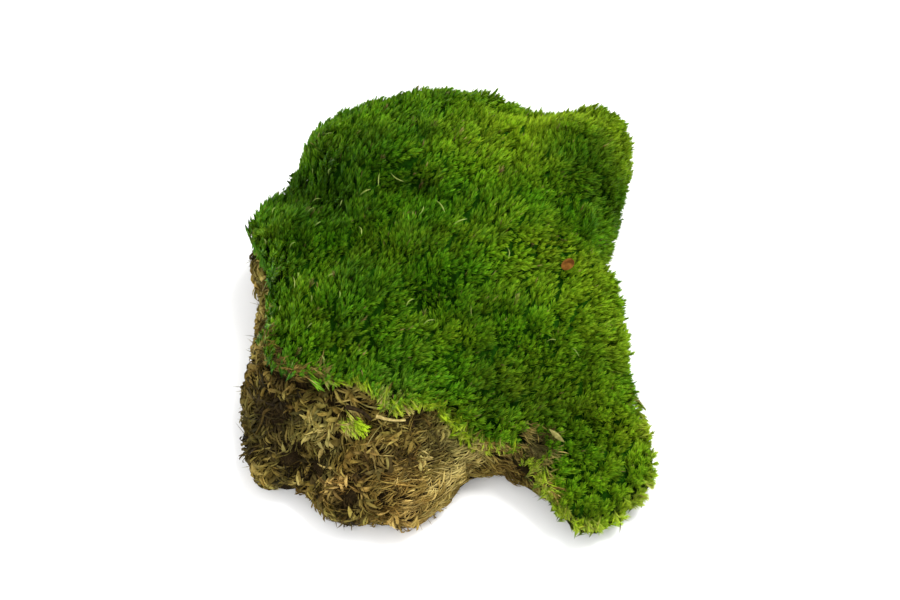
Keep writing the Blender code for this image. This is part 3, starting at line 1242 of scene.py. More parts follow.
    def lime_share(self, places: np.ndarray) -> np.ndarray:
        """How lime green the shoots are: more at the front rim, on the lobe and to the right.

        Args:
            places: The shoots' places, one a row.

        Returns:
            Each shoot's share of lime, from 0 to 1.
        """
        x, y, _ = places.T
        on_lobe = self.on_lobe(places)
        ragged = np.clip(0.8 + 0.5 * waves(places, 9 * MM, 6), 0, 1)
        rim = ragged * self.front_rim(places) * fade(x, -42, -25) * (1 - 0.8 * on_lobe)
        rim = rim * (0.5 + 0.5 * fade(x, 6, -6))
        right = 0.26 * fade(x, 5, 45) + 0.18 * fade(y, 10, 65) * fade(x, -20, 20)
        right = right * (1 - 0.5 * on_lobe) + 0.28 * hump(places, 20, 46, 15)
        lobe = on_lobe * (0.16 + 0.28 * fade(self.outline.inside(places), 6, 1))
        duller = 0.45 * hump(places, 46, 34, 14) + 0.15 * hump(places, 35, 50, 9)
        valley = 0.20 * hump(places, -40, 31, 16)
        patches = 0.15 * waves(places, 30 * MM, 7) + 0.08 * waves(places, 9 * MM, 8)
        border = 0.45 * lobe_border(places) + bells(places, self.hues)
        return np.clip(0.12 + rim + right + lobe + border + patches - duller - valley, 0, 1)

    def shading(self, places: np.ndarray) -> np.ndarray:
        """How much painted shade darkens the shoots: in the back left valley, at the right, and in the dips.

        Args:
            places: The shoots' places, one a row.

        Returns:
            Each shoot's shade, 0 for none. It may pass 1.
        """
        valley = 0.55 * hump(places, -41, 31, 15)
        right = 0.63 * hump(places, 46, 36, 15) + 0.14 * hump(places, 40, -34, 15)
        left = 0.08 * fade(places[..., 0], -20, -50)
        low = 0.15 * fade(places[..., 1], -25, -45) * fade(places[..., 0], 0, 20)
        low = low * (1 - self.on_lobe(places))
        return valley + right + left + low + bells(places, self.dips)

    def brightness(self, places: np.ndarray) -> np.ndarray:
        """How bright the shoots are: most of all at the back right, where light is painted on the side that
        faces the key light, and at the front rim.

        Args:
            places: The shoots' places, one a row.

        Returns:
            Each shoot's brightness. It may pass 1.
        """
        x, y, _ = places.T
        # Painted light: brighter at the back right and on the right, the side that faces the key light.
        back = 0.20 * hump(places, 14, 52, 24) + 0.16 * hump(places, 24, 44, 12)
        right = 0.12 * fade(x, 0, 25) * fade(y, -25, 0)
        rim = (0.25 + 0.75 * fade(x, 0, -12)) * self.front_rim(places) * (1 - self.on_lobe(places))
        return 0.47 + back + right + rim + bells(places, self.tones) + 0.42 * self.on_lobe(places)

    def dryness(self, places: np.ndarray, rim: np.ndarray, rng: np.random.Generator) -> np.ndarray:
        """How dry the shoots are: a few anywhere, and more at the rim and at the lobe's edges.

        Args:
            places: Where the shoots' tips are.
            rim: How far each shoot hangs over the front rim.
            rng: The source of chance.

        Returns:
            Each shoot's share of dry colour, which may pass 1.
        """
        count = len(places)
        dry = np.where(rng.random(count) > 0.995, 0.6, 0.0)
        dry += rim * rng.random(count) ** 2 * (0.7 + 0.3 * fade(places[:, 0], -28, -40))
        dry += 0.2 * lobe_border(places) * rng.random(count)
        dry += 0.5 * hump(places, -17, -46.5, 6) * rng.random(count)
        edge = self.on_lobe(places) * fade(self.outline.inside(places), 5, 1)
        dry += 0.2 * edge * rng.random(count)
        return dry

    def shoots_on(self, spots: Spots, heads: Spots, turf: Turf, rng: np.random.Generator) -> Growth:
        """Shoots at the spots, gathered in rounded heads.

        A shoot leans a little away from the middle of its head and stands lower the nearer it is to
        the gap between two heads. All stand up from the surface and are swept to the right with a
        smooth field, most of all off the lobe, and hang over at the front rim. None lies flatter
        than half out of the surface.

        Args:
            spots: Where the shoots' tips are.
            heads: The middles of the heads.
            turf: How the shoots stand.
            rng: The source of chance.

        Returns:
            The shoots' leaves.
        """
        places, normals = spots.places, spots.normals
        count = len(spots)
        on_lobe = self.on_lobe(places)
        index, first, second = nearest_two(places, heads.places)
        gap = 1 - np.clip((second - first) / turf.gap_width, 0, 1)
        rim = self.front_rim(places) * (1 - 0.6 * on_lobe) * rng.uniform(0.5, 1.1, count)
        rim = rim * fade(places[:, 0], -46, -36)
        sweep = np.stack([waves(places, 24 * MM, seed) for seed in (41, 42, 43)], axis=1)
        lean = (places - heads.places[index]) / (0.5 * turf.head_spacing)
        sweeps = unit(np.array(self.sweep_way) + 0.7 * sweep)
        hang = fade(self.outline.above_rim(places), 3.5, 0.5)
        hang *= (1 - self.front_rim(places)) * (1 - 0.7 * on_lobe)
        axes = 0.5 * normals + (0.5 - np.maximum(0.9 * rim, 1.1 * hang))[:, None] * UP
        axes = axes + turf.sweep * (1 - rim)[:, None] * sweeps
        axes = axes + turf.lean * lean + (0.11 + 0.14 * rim)[:, None] * rng.normal(size=(count, 3))
        axes = unit(axes)
        facing = (axes * normals).sum(axis=1, keepdims=True)
        axes = unit(axes + np.maximum(0.5 - facing, 0) * normals)
        sunk = turf.gap_depth * gap**2 + rng.normal(-self.reach_out, 0.4 * MM, count)
        sunk += 1.6 * MM * on_lobe * fade(places[:, 1], -69, -75)
        tips = Spots(places - normals * sunk[:, None], normals)
        head_chance = rng.random(len(heads))[index]
        chance = 0.3 * (head_chance - 0.5) + rng.normal(0, 0.18, count)
        bright = np.clip(self.brightness(places) + chance, 0, 1.3)
        growth = np.stack([np.zeros(count), bright, self.lime_share(places)], axis=1)
        # Painted shade: darker in the gaps between heads, and where the shading bells fall.
        shade = np.clip(turf.gap_shade * gap**2 + self.shading(places), 0, 1)
        wear_and_painted_shade = np.stack([self.dryness(places, rim, rng), shade, np.zeros(count)], axis=1)
        return turf.shoots.grown(tips, axes, sweeps, growth, wear_and_painted_shade, rng)


def near_litter(places: np.ndarray) -> np.ndarray:
    """How near each point is in plan to the twig, the straw or the side tuft, from 0 to 1.

    Args:
        places: Points, the last axis holding x, y and z.

    Returns:
        A value from 0 to 1 for each point.
    """
    litter = (
        (-30.5, -46, 3.5, 1), (-26, -49, 3.5, 1), (-21, -52, 3.5, 1), (-15.5, -51.5, 3.5, 1),
        (-28.5, -54, 4.5, 1),
    )
    return np.clip(bells(places, litter), 0, 1)


@dataclass(frozen=True)
class Patch:
    """A patch of the mat that differs, and what it adds to each share at its middle.

    The middle in plan and the reach are in millimetres. Its shade is painted shade, or less of it
    where it is negative.
    """

    middle: tuple[float, float]
    reach: float
    pale: float = 0.0
    olive: float = 0.0
    shade: float = 0.0
    tan: float = 0.0

    def near(self, places: np.ndarray) -> np.ndarray:
        """How near each place is to the patch's middle, from 0 to 1."""
        return hump(places, *self.middle, self.reach)

    def over(self, places: np.ndarray) -> np.ndarray:
        """What the patch adds to the four shares at each place, as rows of four."""
        return self.near(places)[:, None] * np.array([self.pale, self.olive, self.shade, self.tan])


@dataclass(frozen=True)
class Locks:
    """How one kind of dead lock is built: strands that run side by side over the mat's wall.

    Lengths are in metres and angles in radians, and each pair of numbers is a range. A lock's
    strands stand beside each other by gather and turn away from its way by fan, both the spread of
    a normal draw, as bend and twist are. root is how deep a strand starts below the skin, rise how
    far its middle stands off it and tip how far its end does.
    """

    spacing: float
    strands: int
    length: Range
    width: Range
    gather: float
    fan: float
    bend: float
    root: float
    rise: Range
    tip: Range
    twist: float
    thickness: float
    paler: float = 0.0
    steps: int = 6

    def grown(self, bases: Spots, ways: np.ndarray, skin: Skin, tone: np.ndarray, tints_and_painted_shade: np.ndarray,
              lowering: Callable[[np.ndarray], np.ndarray], rng: np.random.Generator) -> Growth:
        """The locks' strands, laid over the wall.

        A strand starts beside its lock's base and runs the lock's way, with a sideways bend that
        grows with the square of its share of the length. It is then laid on the skin with a lift
        that goes from its root's to its tip's, plus a half sine wave of its rise.

        Args:
            bases: Where the locks start, on the wall.
            ways: Each lock's way along the wall.
            skin: The surface that the strands are laid on.
            tone: How pale each lock is.
            tints_and_painted_shade: Each lock's olive share, shade and tan share.
            lowering: Gives how far strands at a place are lowered.
            rng: The source of chance.

        Returns:
            All the strands.
        """
        shape = (len(bases), self.strands)
        steps = np.linspace(0, 1, self.steps)
        squares = (steps**2)[:, None]
        normal = bases.normals[:, None, :]
        side = unit(np.cross(bases.normals, ways))[:, None, :]
        turn = rng.normal(0, self.fan, shape)[..., None]
        way = ways[:, None] * np.cos(turn) + side * np.sin(turn)
        beside = np.cross(normal, way)
        length = rng.uniform(*self.length, (shape[0], 1)) * rng.uniform(0.7, 1.15, shape)
        bend = rng.normal(0, self.bend, (shape[0], 1)) + rng.normal(0, 0.3 * self.bend, shape)
        offset = side * rng.normal(0, self.gather, shape)[..., None]
        offset = offset + ways[:, None] * (rng.uniform(-0.3, 0.3, shape) * length)[..., None]
        start = (bases.places[:, None] + offset)[..., None, :]
        run = way[..., None, :] * steps[:, None] + (beside * bend[..., None])[..., None, :] * squares
        paths = start + run * length[..., None, None]
        paths -= (offset * 0.4)[..., None, :] * squares
        lift = rng.uniform(*self.tip, shape)[..., None] * steps - self.root * (1 - steps) ** 2
        lift = lift + rng.uniform(*self.rise, shape)[..., None] * np.sin(steps * math.pi)
        flat = paths.reshape(-1, self.steps, 3)
        flat, above = skin.draped(flat, lift.reshape(-1, self.steps) - lowering(flat))
        flat[..., 2] = np.maximum(flat[..., 2], 0.4 * MM)
        turning = rng.normal(0, 0.6, shape)[..., None] + rng.normal(0, self.twist, shape)[..., None] * steps
        turning = turning.reshape(-1, self.steps, 1)
        across = unit(np.cross(above, np.gradient(flat, axis=1)))
        above = above * np.cos(turning) + across * np.sin(turning)
        profile = np.sin(math.pi * (0.10 + 0.86 * steps)) ** 0.6
        width = rng.uniform(*self.width, shape)[..., None] * profile
        growth = np.zeros((*shape, 3))
        growth[..., 1] = rng.random(shape)
        growth[..., 2] = np.clip(tone[:, None] + self.paler + rng.normal(0, 0.09, shape), 0, 1)
        wear_and_painted_shade = np.clip(tints_and_painted_shade[:, None] + rng.normal(0, (0.12, 0.0, 0.12), (*shape, 3)), 0, 1)
        return Strands(
            flat,
            above,
            width.reshape(-1, self.steps),
            self.thickness,
            growth.reshape(-1, 3),
            wear_and_painted_shade.reshape(-1, 3),
        ).grown()


@dataclass
class StemMat:
    """The brown mat: a felted core, and dead growth of five kinds of locks and of root hairs.

    Combed stems lie at the front right and curled and broad leaves elsewhere. A fringe grows at the
    bottom left, and nested stems where the cushion is bare. draw lists x and how far back the foot
    of the front is drawn there, both in millimetres. patches change the growth's colour, and
    where they paint shade on it they lower it too. The tried counts say how many random spots on the
    mat and on the cushion the locks are chosen from.
    """

    combed: Locks = Locks(
        spacing=2.0 * MM, strands=9, length=(3.6 * MM, 7.6 * MM), width=(0.24 * MM, 0.52 * MM),
        gather=0.9 * MM, fan=0.24, bend=0.28, root=1.2 * MM, rise=(-0.2 * MM, 0.8 * MM),
        tip=(-0.9 * MM, 0.5 * MM), twist=0.8, thickness=0.4,
    )
    curled: Locks = Locks(
        spacing=2.3 * MM, strands=8, length=(3.5 * MM, 7 * MM), width=(0.4 * MM, 0.95 * MM),
        gather=0.9 * MM, fan=0.32, bend=0.5, root=1.9 * MM, rise=(-0.1 * MM, 1.6 * MM),
        tip=(-1.6 * MM, 0.9 * MM), twist=1.4, thickness=0.22,
    )
    broad: Locks = Locks(
        spacing=3.6 * MM, strands=3, length=(3.5 * MM, 6.5 * MM), width=(0.9 * MM, 1.7 * MM),
        gather=1.0 * MM, fan=0.6, bend=0.5, root=0.9 * MM, rise=(0.2 * MM, 1.3 * MM),
        tip=(-0.7 * MM, 0.9 * MM), twist=1.2, thickness=0.12, paler=0.05,
    )
    fringe: Locks = Locks(
        spacing=6.0 * MM, strands=7, length=(3 * MM, 6 * MM), width=(0.35 * MM, 0.85 * MM),
        gather=0.6 * MM, fan=0.3, bend=0.4, root=1.5 * MM, rise=(0.0, 1.0 * MM),
        tip=(0.5 * MM, 2.6 * MM), twist=1.4, thickness=0.22,
    )
    nested: Locks = Locks(
        spacing=1.3 * MM, strands=8, length=(3 * MM, 6 * MM), width=(0.25 * MM, 0.5 * MM),
        gather=0.8 * MM, fan=0.35, bend=0.3, root=1.2 * MM, rise=(-0.5 * MM, 0.4 * MM),
        tip=(-1.0 * MM, 0.2 * MM), twist=0.8, thickness=0.4,
    )
    tried_wall: int = 40000
    tried_bare: int = 60000
    hairs: int = 1100
    draw: tuple[tuple[float, float], ...] = (
        (-50, 0), (-45, 2.4), (-38, 0), (-31, 0.5), (-26, 3.2), (-19, 3.8), (-13, 3.2), (-3, 3.8),
        (4, 3.4), (12, 1.5), (20, 2), (26, 1.4), (32, 0),
    )
    comb_way: Triple = (0.90, 0.28, 0.16)
    notch_way: Triple = (0.95, -0.22, -0.18)
    patches: tuple[Patch, ...] = (
        Patch((-53, -47.5), 2.5, shade=0.9),
        Patch((-47.3, -55), 3, shade=1.0),
        Patch((-38.8, -56.6), 4, pale=-0.15, shade=1.2),
        Patch((-48.6, -58), 3, shade=0.9),
        Patch((-31.5, -68.5), 3.8, pale=-0.2, shade=1.6),
        Patch((-26.8, -61.5), 3, pale=-0.1, shade=1.2),
        Patch((-33, -64), 2, pale=0.3, tan=0.4, shade=-0.8),
        Patch((-10.2, -50.6), 3.5, shade=0.9),
        Patch((-20, -59), 3, shade=0.5),
        Patch((-15.4, -60), 3, shade=0.5),
        Patch((-35.6, -40), 3.5, shade=0.7),
        Patch((-40.8, -39.6), 3, shade=0.6),
        Patch((-6, -56.5), 4.2, shade=0.75),
        Patch((0.5, -53.5), 3, shade=0.55),
        Patch((-59, -41), 8, pale=-0.1, shade=0.6),
        Patch((-50, -50), 8, shade=0.5),
        Patch((2, -56), 4, pale=0.2),
        Patch((26, -53), 6, olive=0.6, shade=1.05),
        Patch((-36, -59), 4.5, pale=0.2, shade=-0.4),
        Patch((-38, -66), 4.5, pale=-0.22),
        Patch((-28, -66), 4, pale=-0.12),
        Patch((4.5, -60), 3.5, pale=-0.14, shade=0.15),
        Patch((-15, -74), 5, pale=0.2),
        Patch((-35, -48), 4, pale=0.12),
        Patch((-55, -37), 5, shade=0.3),
        Patch((15, -53), 4.5, shade=0.4, tan=0.3),
        Patch((19.5, -51.5), 2.5, pale=0.15, tan=0.2),
        Patch((29.5, -58.5), 4, pale=0.1, olive=0.9, shade=-0.5),
        Patch((-50, -33), 6, pale=0.1, tan=0.5),
        Patch((-40, -49), 3.5, pale=0.3, olive=0.2),
        Patch((-38.8, -44), 3, pale=0.25),
        Patch((-37, -52.5), 2.5, pale=0.3),
        Patch((-46.6, -48), 2.5, pale=0.25, olive=0.2),
        Patch((-50.5, -52.4), 2, pale=0.25),
        Patch((-61, -51.6), 3, pale=0.2),
        Patch((-33.6, -64), 4, pale=0.3, tan=0.9),
        Patch((-27, -57.7), 3.5, pale=0.15, tan=0.7),
        Patch((-38, -70), 4, pale=0.15, olive=0.3),
        Patch((-15.4, -75.7), 4, pale=0.05, tan=0.6),
        Patch((-20, -66), 9, pale=0.05, tan=0.35),
        Patch((-28, -43), 4, pale=0.25, tan=0.4),
        Patch((4, -54), 6, pale=0.36),
        Patch((-3, -62), 5, pale=0.32),
        Patch((-1.8, -49.7), 4, pale=0.3, olive=0.3),
        Patch((-9, -70), 6, pale=0.1, tan=0.3),
    )

    def build(self) -> None:
        """Builds the core and the dead growth on it."""
        rng = np.random.default_rng(23)
        self.skin = Skin.of("stem_mat")
        self.outline = Outline.of(self.skin)
        green = Skin.of("moss_cushion")
        self.cushion = Outline.of(green)
        self.build_core()
        stem = DeadStemFinish().material()
        wall = self.wall_spots(self.skin.scattered(self.tried_wall, rng))
        combed = self.combed_share(wall.places) > rng.random(len(wall))
        bare = green.scattered(self.tried_bare, rng)
        bare = bare.kept((bare_share(bare.places, self.cushion) > 0.3) & (bare.normals[:, 2] > -0.9))
        lit = ~combed & (self.darkness(wall.places) < 0.6)
        low = (wall.places[:, 2] < 10 * MM) & (wall.places[:, 0] < -3 * MM)
        pieces = {
            "dead_stems": [
                self.lay(self.combed, wall.kept(combed), self.skin, True, rng),
                self.lay(self.nested, bare, green, True, rng),
            ],
            "dead_leaves": [
                self.lay(self.curled, wall.kept(~combed), self.skin, False, rng),
                self.lay(self.broad, wall.kept(lit), self.skin, False, rng),
            ],
            "dead_fringe": [self.lay(self.fringe, wall.kept(low), self.skin, False, rng)],
        }
        for name, grown in pieces.items():
            self.drawn_in(Growth.joined(grown)).made(name, "dead_stems", stem, False)
        self.drawn_in(self.root_hairs(wall, rng)).made("root_hairs", "dead_stems", stem, True)

    def build_core(self) -> None:
        """The felted surface: the solid's, sunk a little and made uneven, its underside flat."""
        fine = self.skin.finer()
        wall = fade(fine.places[:, 2], 0, 2) * (self.cushion.inside(fine.places) < 2 * MM)
        sunk = wall * (2.0 * MM + 0.9 * MM * waves(fine.places, 6 * MM, 5))
        fine = fine.moved(-sunk)
        nothing = np.zeros_like(fine.places)
        core = self.drawn_in(Growth(fine.places, fine.triangles, nothing, nothing))
        piece = core.made("mat_core", "dead_stems", FeltFinish().material(), True)
        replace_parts(piece, "stem_mat")

    def drawn_in(self, growth: Growth) -> Growth:
        """The growth with the foot of the mat's front drawn back, as the photo has it.

        Each point moves back by a length that goes with its x, less the higher and further in it is.

        Args:
            growth: What grows on the mat, or its core.

        Returns:
            The same growth, moved.
        """
        x, y, z = growth.places.T
        across, back = np.array(self.draw).T * MM
        share = fade(z, 16, 3) * fade(self.outline.inside(growth.places), 14, 2)
        growth.places[:, 1] += np.interp(x, across, back) * share * fade(y, -40, -52)
        return growth

    def wall_spots(self, spots: Spots) -> Spots:
        """The spots on the mat's open wall: not under the cushion and not on the underside.

        Args:
            spots: Spots all over the mat.

        Returns:
            Those on the wall.
        """
        margin = 1 * MM + 4 * MM * hump(spots.places, 21, -54.5, 5)
        covered = (self.cushion.inside(spots.places) > margin) & (spots.normals[:, 2] > 0.15)
        return spots.kept(~covered & (spots.normals[:, 2] > -0.6) & (spots.places[:, 2] > 0.4 * MM))

    def combed_share(self, places: np.ndarray) -> np.ndarray:
        """How far the growth is combed stems and not curled leaves: all of it at the front right.

        Args:
            places: Points, the last axis holding x, y and z.

        Returns:
            The share of combed stems at each point, from 0 to 1.
        """
        bearing = np.degrees(np.arctan2(places[..., 1], places[..., 0]))
        wobble = 12 * waves(places, 22 * MM, 9)
        return ease(bearing + wobble, -118, -102) * ease(bearing, 0, -25)

    def lay(self, kind: Locks, wall: Spots, skin: Skin, combed: bool, rng: np.random.Generator) -> Growth:
        """Locks of one kind over their part of the wall.

        Args:
            kind: The locks' build.
            wall: Spots on the part of the wall that they cover.
            skin: The surface that they are laid on.
            combed: Whether all run the same way, and not down the wall with swirls.
            rng: The source of chance.

        Returns:
            All their strands.
        """
        bases = wall.spaced(kind.spacing, rng)
        count = len(bases)
        normals = bases.normals
        if combed:
            turned = fade(bases.places[:, 0], 1, 12)[:, None]
            flow = (1 - turned) * np.array(self.comb_way) + turned * np.array(self.notch_way)
            swirl = 0.30 * waves(bases.places, 14 * MM, 12) + rng.normal(0, 0.14, count)
        else:
            flow = np.broadcast_to(-UP, normals.shape) + 0.3 * rng.normal(size=normals.shape)
            swirl = 1.1 * waves(bases.places, 16 * MM, 13) + rng.normal(0, 0.45, count)
        flow = unit(flow - normals * (flow * normals).sum(axis=1, keepdims=True))
        side = np.cross(normals, flow)
        ways = flow * np.cos(swirl)[:, None] + side * np.sin(swirl)[:, None]
        tone, tints_and_painted_shade = self.shades(bases.places, rng)
        LOG.info("%d locks", count)
        return kind.grown(bases, ways, skin, tone, tints_and_painted_shade, self.lowering, rng)

    def lowering(self, places: np.ndarray) -> np.ndarray:
        """How far strands are lowered at each place: under the litter and in the patches of painted shade.

        At the notch beside the lobe they are raised instead, to close the gap below the rim.
        """
        raised = 3.2 * MM * hump(places, 21, -55, 4)
        return 1.6 * MM * (near_litter(places) + self.darkness(places)) - raised

    def darkness(self, places: np.ndarray) -> np.ndarray:
        """How far each place is in a patch of painted shade, from 0 to 1."""
        return np.clip(sum(patch.shade * patch.near(places) for patch in self.patches), 0, 1)

    def shades(self, places: np.ndarray, rng: np.random.Generator) -> tuple[np.ndarray, np.ndarray]:
        """How pale, olive and tan the dead growth is at each place, and its painted shade.

        Args:
            places: Places on the wall.
            rng: The source of chance.

        Returns:
            The paleness, and the three other shares in that order.
        """
        count = len(places)
        right = fade(places[:, 0], -30, 0)
        under_rim = fade(self.cushion.above_rim(places), -7, -1)
        tone = 0.52 + 0.10 * right + 0.20 * waves(places, 11 * MM, 15) + rng.normal(0, 0.10, count)
        olive = 0.34 - 0.24 * right + 0.2 * under_rim + 0.25 * waves(places, 18 * MM, 16)
        # Painted shade: dark gaps in soft patches, stronger towards the left.
        dark = (0.7 - 0.4 * right) * ease(waves(places, 6 * MM, 17), 0.1, 0.7)
        shares = np.stack([tone, olive + rng.normal(0, 0.1, count), dark, 0.2 * rng.random(count)], axis=1)
        shares = shares + sum(patch.over(places) for patch in self.patches)
        return np.clip(shares[:, 0], 0, 1), np.clip(shares[:, 1:], 0, 0.95)

    def root_hairs(self, wall: Spots, rng: np.random.Generator) -> Growth:
        """Fine loose hairs that stand off the wall at all angles and soften its edge.

        A hair's path is straight with a sideways bend that grows with the square of its length.

        Args:
            wall: Spots on the open wall.
            rng: The source of chance.

        Returns:
            The hairs.
        """
        start = wall.kept(rng.choice(len(wall), self.hairs, replace=False))
        way = unit(start.normals + 1.1 * rng.normal(size=(self.hairs, 3)))
        bend = rng.normal(size=(self.hairs, 3))
        length = rng.uniform(1.8 * MM, 3.8 * MM, (self.hairs, 1, 1))
        steps = np.linspace(0, 1, 5)[:, None]
        root = start.places - 1.5 * MM * start.normals
        paths = root[:, None] + length * (way[:, None] * steps + 0.45 * bend[:, None] * steps**2)
        paths[..., 2] = np.maximum(paths[..., 2], 0.3 * MM)
        above = np.broadcast_to(start.normals[:, None], paths.shape)
        width = rng.uniform(0.12 * MM, 0.22 * MM, (self.hairs, 1)) * np.ones(len(steps))
        tone, tints_and_painted_shade = self.shades(start.places, rng)
        growth = np.stack([np.zeros(self.hairs), rng.random(self.hairs), tone], axis=1)
        return Strands(paths, above, width, 0.8, growth, tints_and_painted_shade).grown()


@dataclass
class Litter:
    """The small loose pieces, the side tuft and the stray pale blades.

    A blade is given by its two ends on the surface, in millimetres, and by its dryness and shade.
    The tried counts say how many random spots the tuft's shoots and the blades are chosen from.
    """

    blades: tuple[tuple[Triple, Triple, float, float], ...] = (
        ((-28.4, 23.7, 41.7), (-24.5, 25.2, 43.6), 0.3, 0.0),
        ((-18.7, 31.0, 44.8), (-14.1, 28.2, 43.1), 0.3, 0.0),
        ((-21.9, 30.5, 44.9), (-22.2, 26.1, 43.9), 0.2, 0.0),
        ((-4.8, 17.6, 48.8), (-1.6, 12.6, 49.2), 0.2, 0.0),
        ((-9.7, 10.6, 50.5), (-8.1, 14.4, 50.1), 0.1, 0.0),
        ((0.8, 7.2, 50.4), (5.4, 9.8, 49.9), 0.2, 0.0),
        ((-48.6, -4.8, 40.3), (-47.9, -9.3, 40.0), 0.3, 0.0),
        ((-13.5, -20.3, 46.1), (-10.9, -16.4, 44.9), 0.2, 0.0),
        ((-8.3, -26.1, 45.0), (-4.4, -23.5, 44.0), 0.2, 0.0),
        ((17.4, 0.1, 48.8), (17.9, -3.3, 47.4), 0.3, 0.0),
        ((6.4, -17.9, 43.7), (6.5, -20.6, 41.8), 0.3, 0.0),
        ((29.4, -26.7, 36.4), (32.7, -25.8, 36.2), 0.2, 0.0),
        ((37.2, -26.9, 33.7), (39.8, -27.7, 29.5), 0.1, 0.0),
        ((-28.4, 10.7, 44.4), (-27.4, 7.1, 45.2), 0.2, 0.0),
        ((-19.3, -51.9, 31.6), (-25.8, -58.0, 25.5), 0.8, 0.0),
        ((52.0, -71.0, 6.5), (52.0, -75.5, 3.0), 1.0, 0.9),
    )
    random_blades: int = 26
    tried_tuft: int = 4000
    tried_blades: int = 3000

    def build(self) -> None:
        """Grows the side tuft and the blades and gives the loose pieces their finishes."""
        rng = np.random.default_rng(31)
        self.build_side_tuft(rng)
        self.build_blades(rng)
        finishes = {
            "bud_scale": LitterFinish(
                "rust_scale", (0.165, 0.070, 0.012), (0.055, 0.018, 0.002), 0.6, 420.0, 0.04
            ),
            "dry_leaf": LitterFinish(
                "tan_leaf", (0.22, 0.20, 0.065), (0.12, 0.11, 0.030), 0.7, 900.0, 0.04
            ),
            "straw": LitterFinish("dry_straw", (0.50, 0.41, 0.15), (0.26, 0.19, 0.06), 0.6, 800.0),
            "twig": LitterFinish(
                "dark_twig", (0.034, 0.022, 0.009), (0.009, 0.006, 0.003), 0.85, 900.0, 0.04
            ),
        }
        for name, finish in finishes.items():
            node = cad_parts[name]
            node.data.materials.clear()
            node.data.materials.append(finish.material())
            LOG.info("%s: finished as it is", name)

    def build_side_tuft(self, rng: np.random.Generator) -> None:
        """A few lime shoots in place of the side tuft's solid, fanned over its form.

        Args:
            rng: The source of chance.
        """
        spots = Skin.of("side_tuft").scattered(self.tried_tuft, rng)
        facing = spots.normals @ unit(np.array([-0.2, -0.5, 0.8])) > 0.1
        spots = spots.kept(facing).spaced(1.0 * MM, rng)
        count = len(spots)
        right = fade(spots.places[:, 0], -31, -26)
        sweeps = unit(np.array([0.7, -0.7, -0.25]) + 0.25 * rng.normal(size=(count, 3)))
        axes = unit(0.5 * spots.normals + 0.9 * sweeps)
        growth = np.stack([np.zeros(count), 1.15 + 0.15 * right, rng.uniform(0.8, 1, count)], axis=1)
        wear_and_painted_shade = np.zeros((count, 3))
        wear_and_painted_shade[:, 0] = 0.6 * (1 - right)
        kind = Rosettes(9, 3.2 * MM, 0.5 * MM, 1.0 * MM, 0.8 * MM, 0.8)
        finish = MossLeafFinish(name="young_moss_leaf").material()
        piece = kind.grown(spots, axes, sweeps, growth, wear_and_painted_shade, rng)
        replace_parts(piece.made("side_tuft_shoots", "lime_moss", finish, False), "side_tuft")

    def build_blades(self, rng: np.random.Generator) -> None:
        """Single pale blades: the listed ones and more at random over the cushion.

        A blade's middle line goes straight between its ends, which are lifted a little off the
        surface, with a half sine wave of lift and of bend to one side.

        Args:
            rng: The source of chance.
        """
        spots = Skin.of("moss_cushion").scattered(self.tried_blades, rng)
        spots = spots.kept(spots.normals[:, 2] > 0.2).spaced(9 * MM, rng)
        spots = spots.kept(slice(0, self.random_blades))
        count = len(spots)
        way = unit(np.array([0.7, 0.8, 0.0]) + rng.normal(0, 0.6, (count, 3)))
        way = unit(way - spots.normals * (way * spots.normals).sum(axis=1, keepdims=True))
        listed = np.array([blade[:2] for blade in self.blades]) * MM
        far = spots.places + way * rng.uniform(1.8 * MM, 3.8 * MM, (count, 1))
        start = np.concatenate([listed[:, 0], spots.places])
        end = np.concatenate([listed[:, 1], far])
        wear_and_painted_shade = np.zeros((len(start), 3))
        wear_and_painted_shade[:, 0] = np.concatenate([[blade[2] for blade in self.blades], rng.uniform(0, 0.15, count)])
        wear_and_painted_shade[: len(listed), 1] = [blade[3] for blade in self.blades]
        growth = np.tile([0.0, 0.6, 0.8], (len(start), 1))
        growth[len(listed):, 1] = rng.uniform(0.1, 0.5, count)
        steps = np.linspace(0, 1, 6)[:, None]
        arch = np.sin(steps * math.pi)
        side = unit(np.cross(end - start, UP))[:, None] * rng.normal(0, 0.12, (len(start), 1, 1))
        size = np.linalg.norm(end - start, axis=1)[:, None, None]
        paths = start[:, None] + (end - start)[:, None] * steps + size * arch * (side + 0.12 * UP)
        paths = paths + 1.0 * MM * UP
        width = rng.uniform(0.24 * MM, 0.40 * MM, (len(start), 1)) * (0.3 + 0.7 * arch[:, 0])
        above = np.broadcast_to(UP, paths.shape)
        pale = evenly((0.08, 0.14, 0.02), (0.22, 0.30, 0.06), (0.32, 0.40, 0.12))
        finish = MossLeafFinish(name="pale_blade", lime=pale).material()
        blades = Strands(paths, above, width, 0.3, growth, wear_and_painted_shade).grown()
        blades.made("stray_blades", "living_moss", finish, False)


@dataclass(frozen=True)
class Lamp:
    """A square soft light: its name, its place, the length of its side and its power in watts."""

    name: str
    place: Triple
    size: float
    power: float


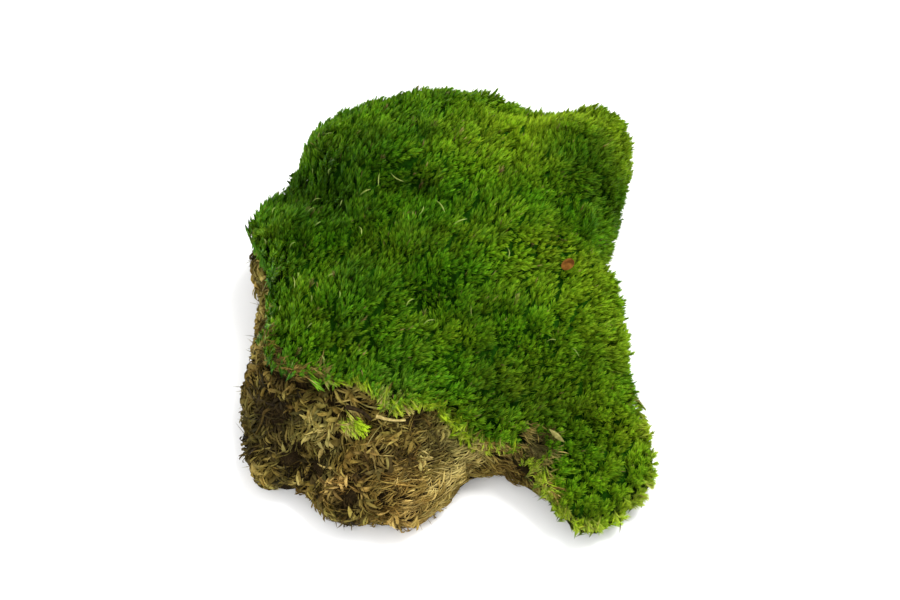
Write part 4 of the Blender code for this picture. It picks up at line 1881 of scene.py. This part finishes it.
@dataclass
class Studio:
    """The floor, the soft lights and the camera."""

    elevation: float = 57.0
    distance: float = 1.6
    lens: float = 205.0
    aim: Triple = (0.0, 0.0, 0.020)
    floor_half: float = 6.0
    sky: float = 1.3
    lamps: tuple[Lamp, ...] = (
        Lamp("key", (0.55, 0.45, 1.1), 0.7, 26.0),
        Lamp("fill", (-0.7, -0.8, 0.8), 0.8, 6.0),
    )

    def build(self) -> None:
        """Sets up everything that isn't the object."""
        self.build_floor()
        self.build_lights()
        self.build_camera()
        bpy.context.scene.view_settings.view_transform = "Standard"

    def build_floor(self) -> None:
        """A wide pale floor at the height of the clump's underside."""
        half = self.floor_half
        mesh = bpy.data.meshes.new("studio_floor")
        corners = [(-half, -half, 0), (half, -half, 0), (half, half, 0), (-half, half, 0)]
        mesh.from_pydata(corners, [], [(0, 1, 2, 3)])
        mesh.materials.append(PaleFloorFinish().material())
        floor = bpy.data.objects.new("studio_floor", mesh)
        bpy.context.scene.collection.objects.link(floor)

    def build_lights(self) -> None:
        """A pale sky all round, a broad soft key from the back right and a weak front fill."""
        world = bpy.data.worlds.new("studio_air")
        bpy.context.scene.world = world
        world.use_nodes = True
        air = world.node_tree.nodes["Background"]
        air.inputs["Color"].default_value = (1.0, 1.0, 1.0, 1.0)
        air.inputs["Strength"].default_value = self.sky
        for lamp in self.lamps:
            data = bpy.data.lights.new(lamp.name, "AREA")
            data.size = lamp.size
            data.energy = lamp.power
            light = bpy.data.objects.new(lamp.name, data)
            light.location = lamp.place
            towards = Vector(self.aim) - Vector(lamp.place)
            light.rotation_euler = towards.to_track_quat("-Z", "Y").to_euler()
            bpy.context.scene.collection.objects.link(light)

    def build_camera(self) -> None:
        """A long lens that looks down on the clump from the front."""
        data = bpy.data.cameras.new("camera")
        data.lens = self.lens
        data.clip_start, data.clip_end = 0.05, 20.0
        camera = bpy.data.objects.new("camera", data)
        turn = math.radians(self.elevation)
        back = Vector((0, -math.cos(turn), math.sin(turn)))
        camera.location = Vector(self.aim) + back * self.distance
        camera.rotation_euler = (-back).to_track_quat("-Z", "Y").to_euler()
        bpy.context.scene.collection.objects.link(camera)
        bpy.context.scene.camera = camera


def write_sizes() -> None:
    """Brings the view layer up to date."""
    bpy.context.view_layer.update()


def main() -> None:
    """Builds the sub-assemblies in order and reports each piece."""
    logging.basicConfig(level=logging.INFO, format="%(name)s %(message)s")
    for assembly in (StemMat(), LivingCushion(), Litter(), Studio()):
        LOG.info("building %s", type(assembly).__name__)
        assembly.build()
    write_sizes()


if __name__ == "__main__":
    main()
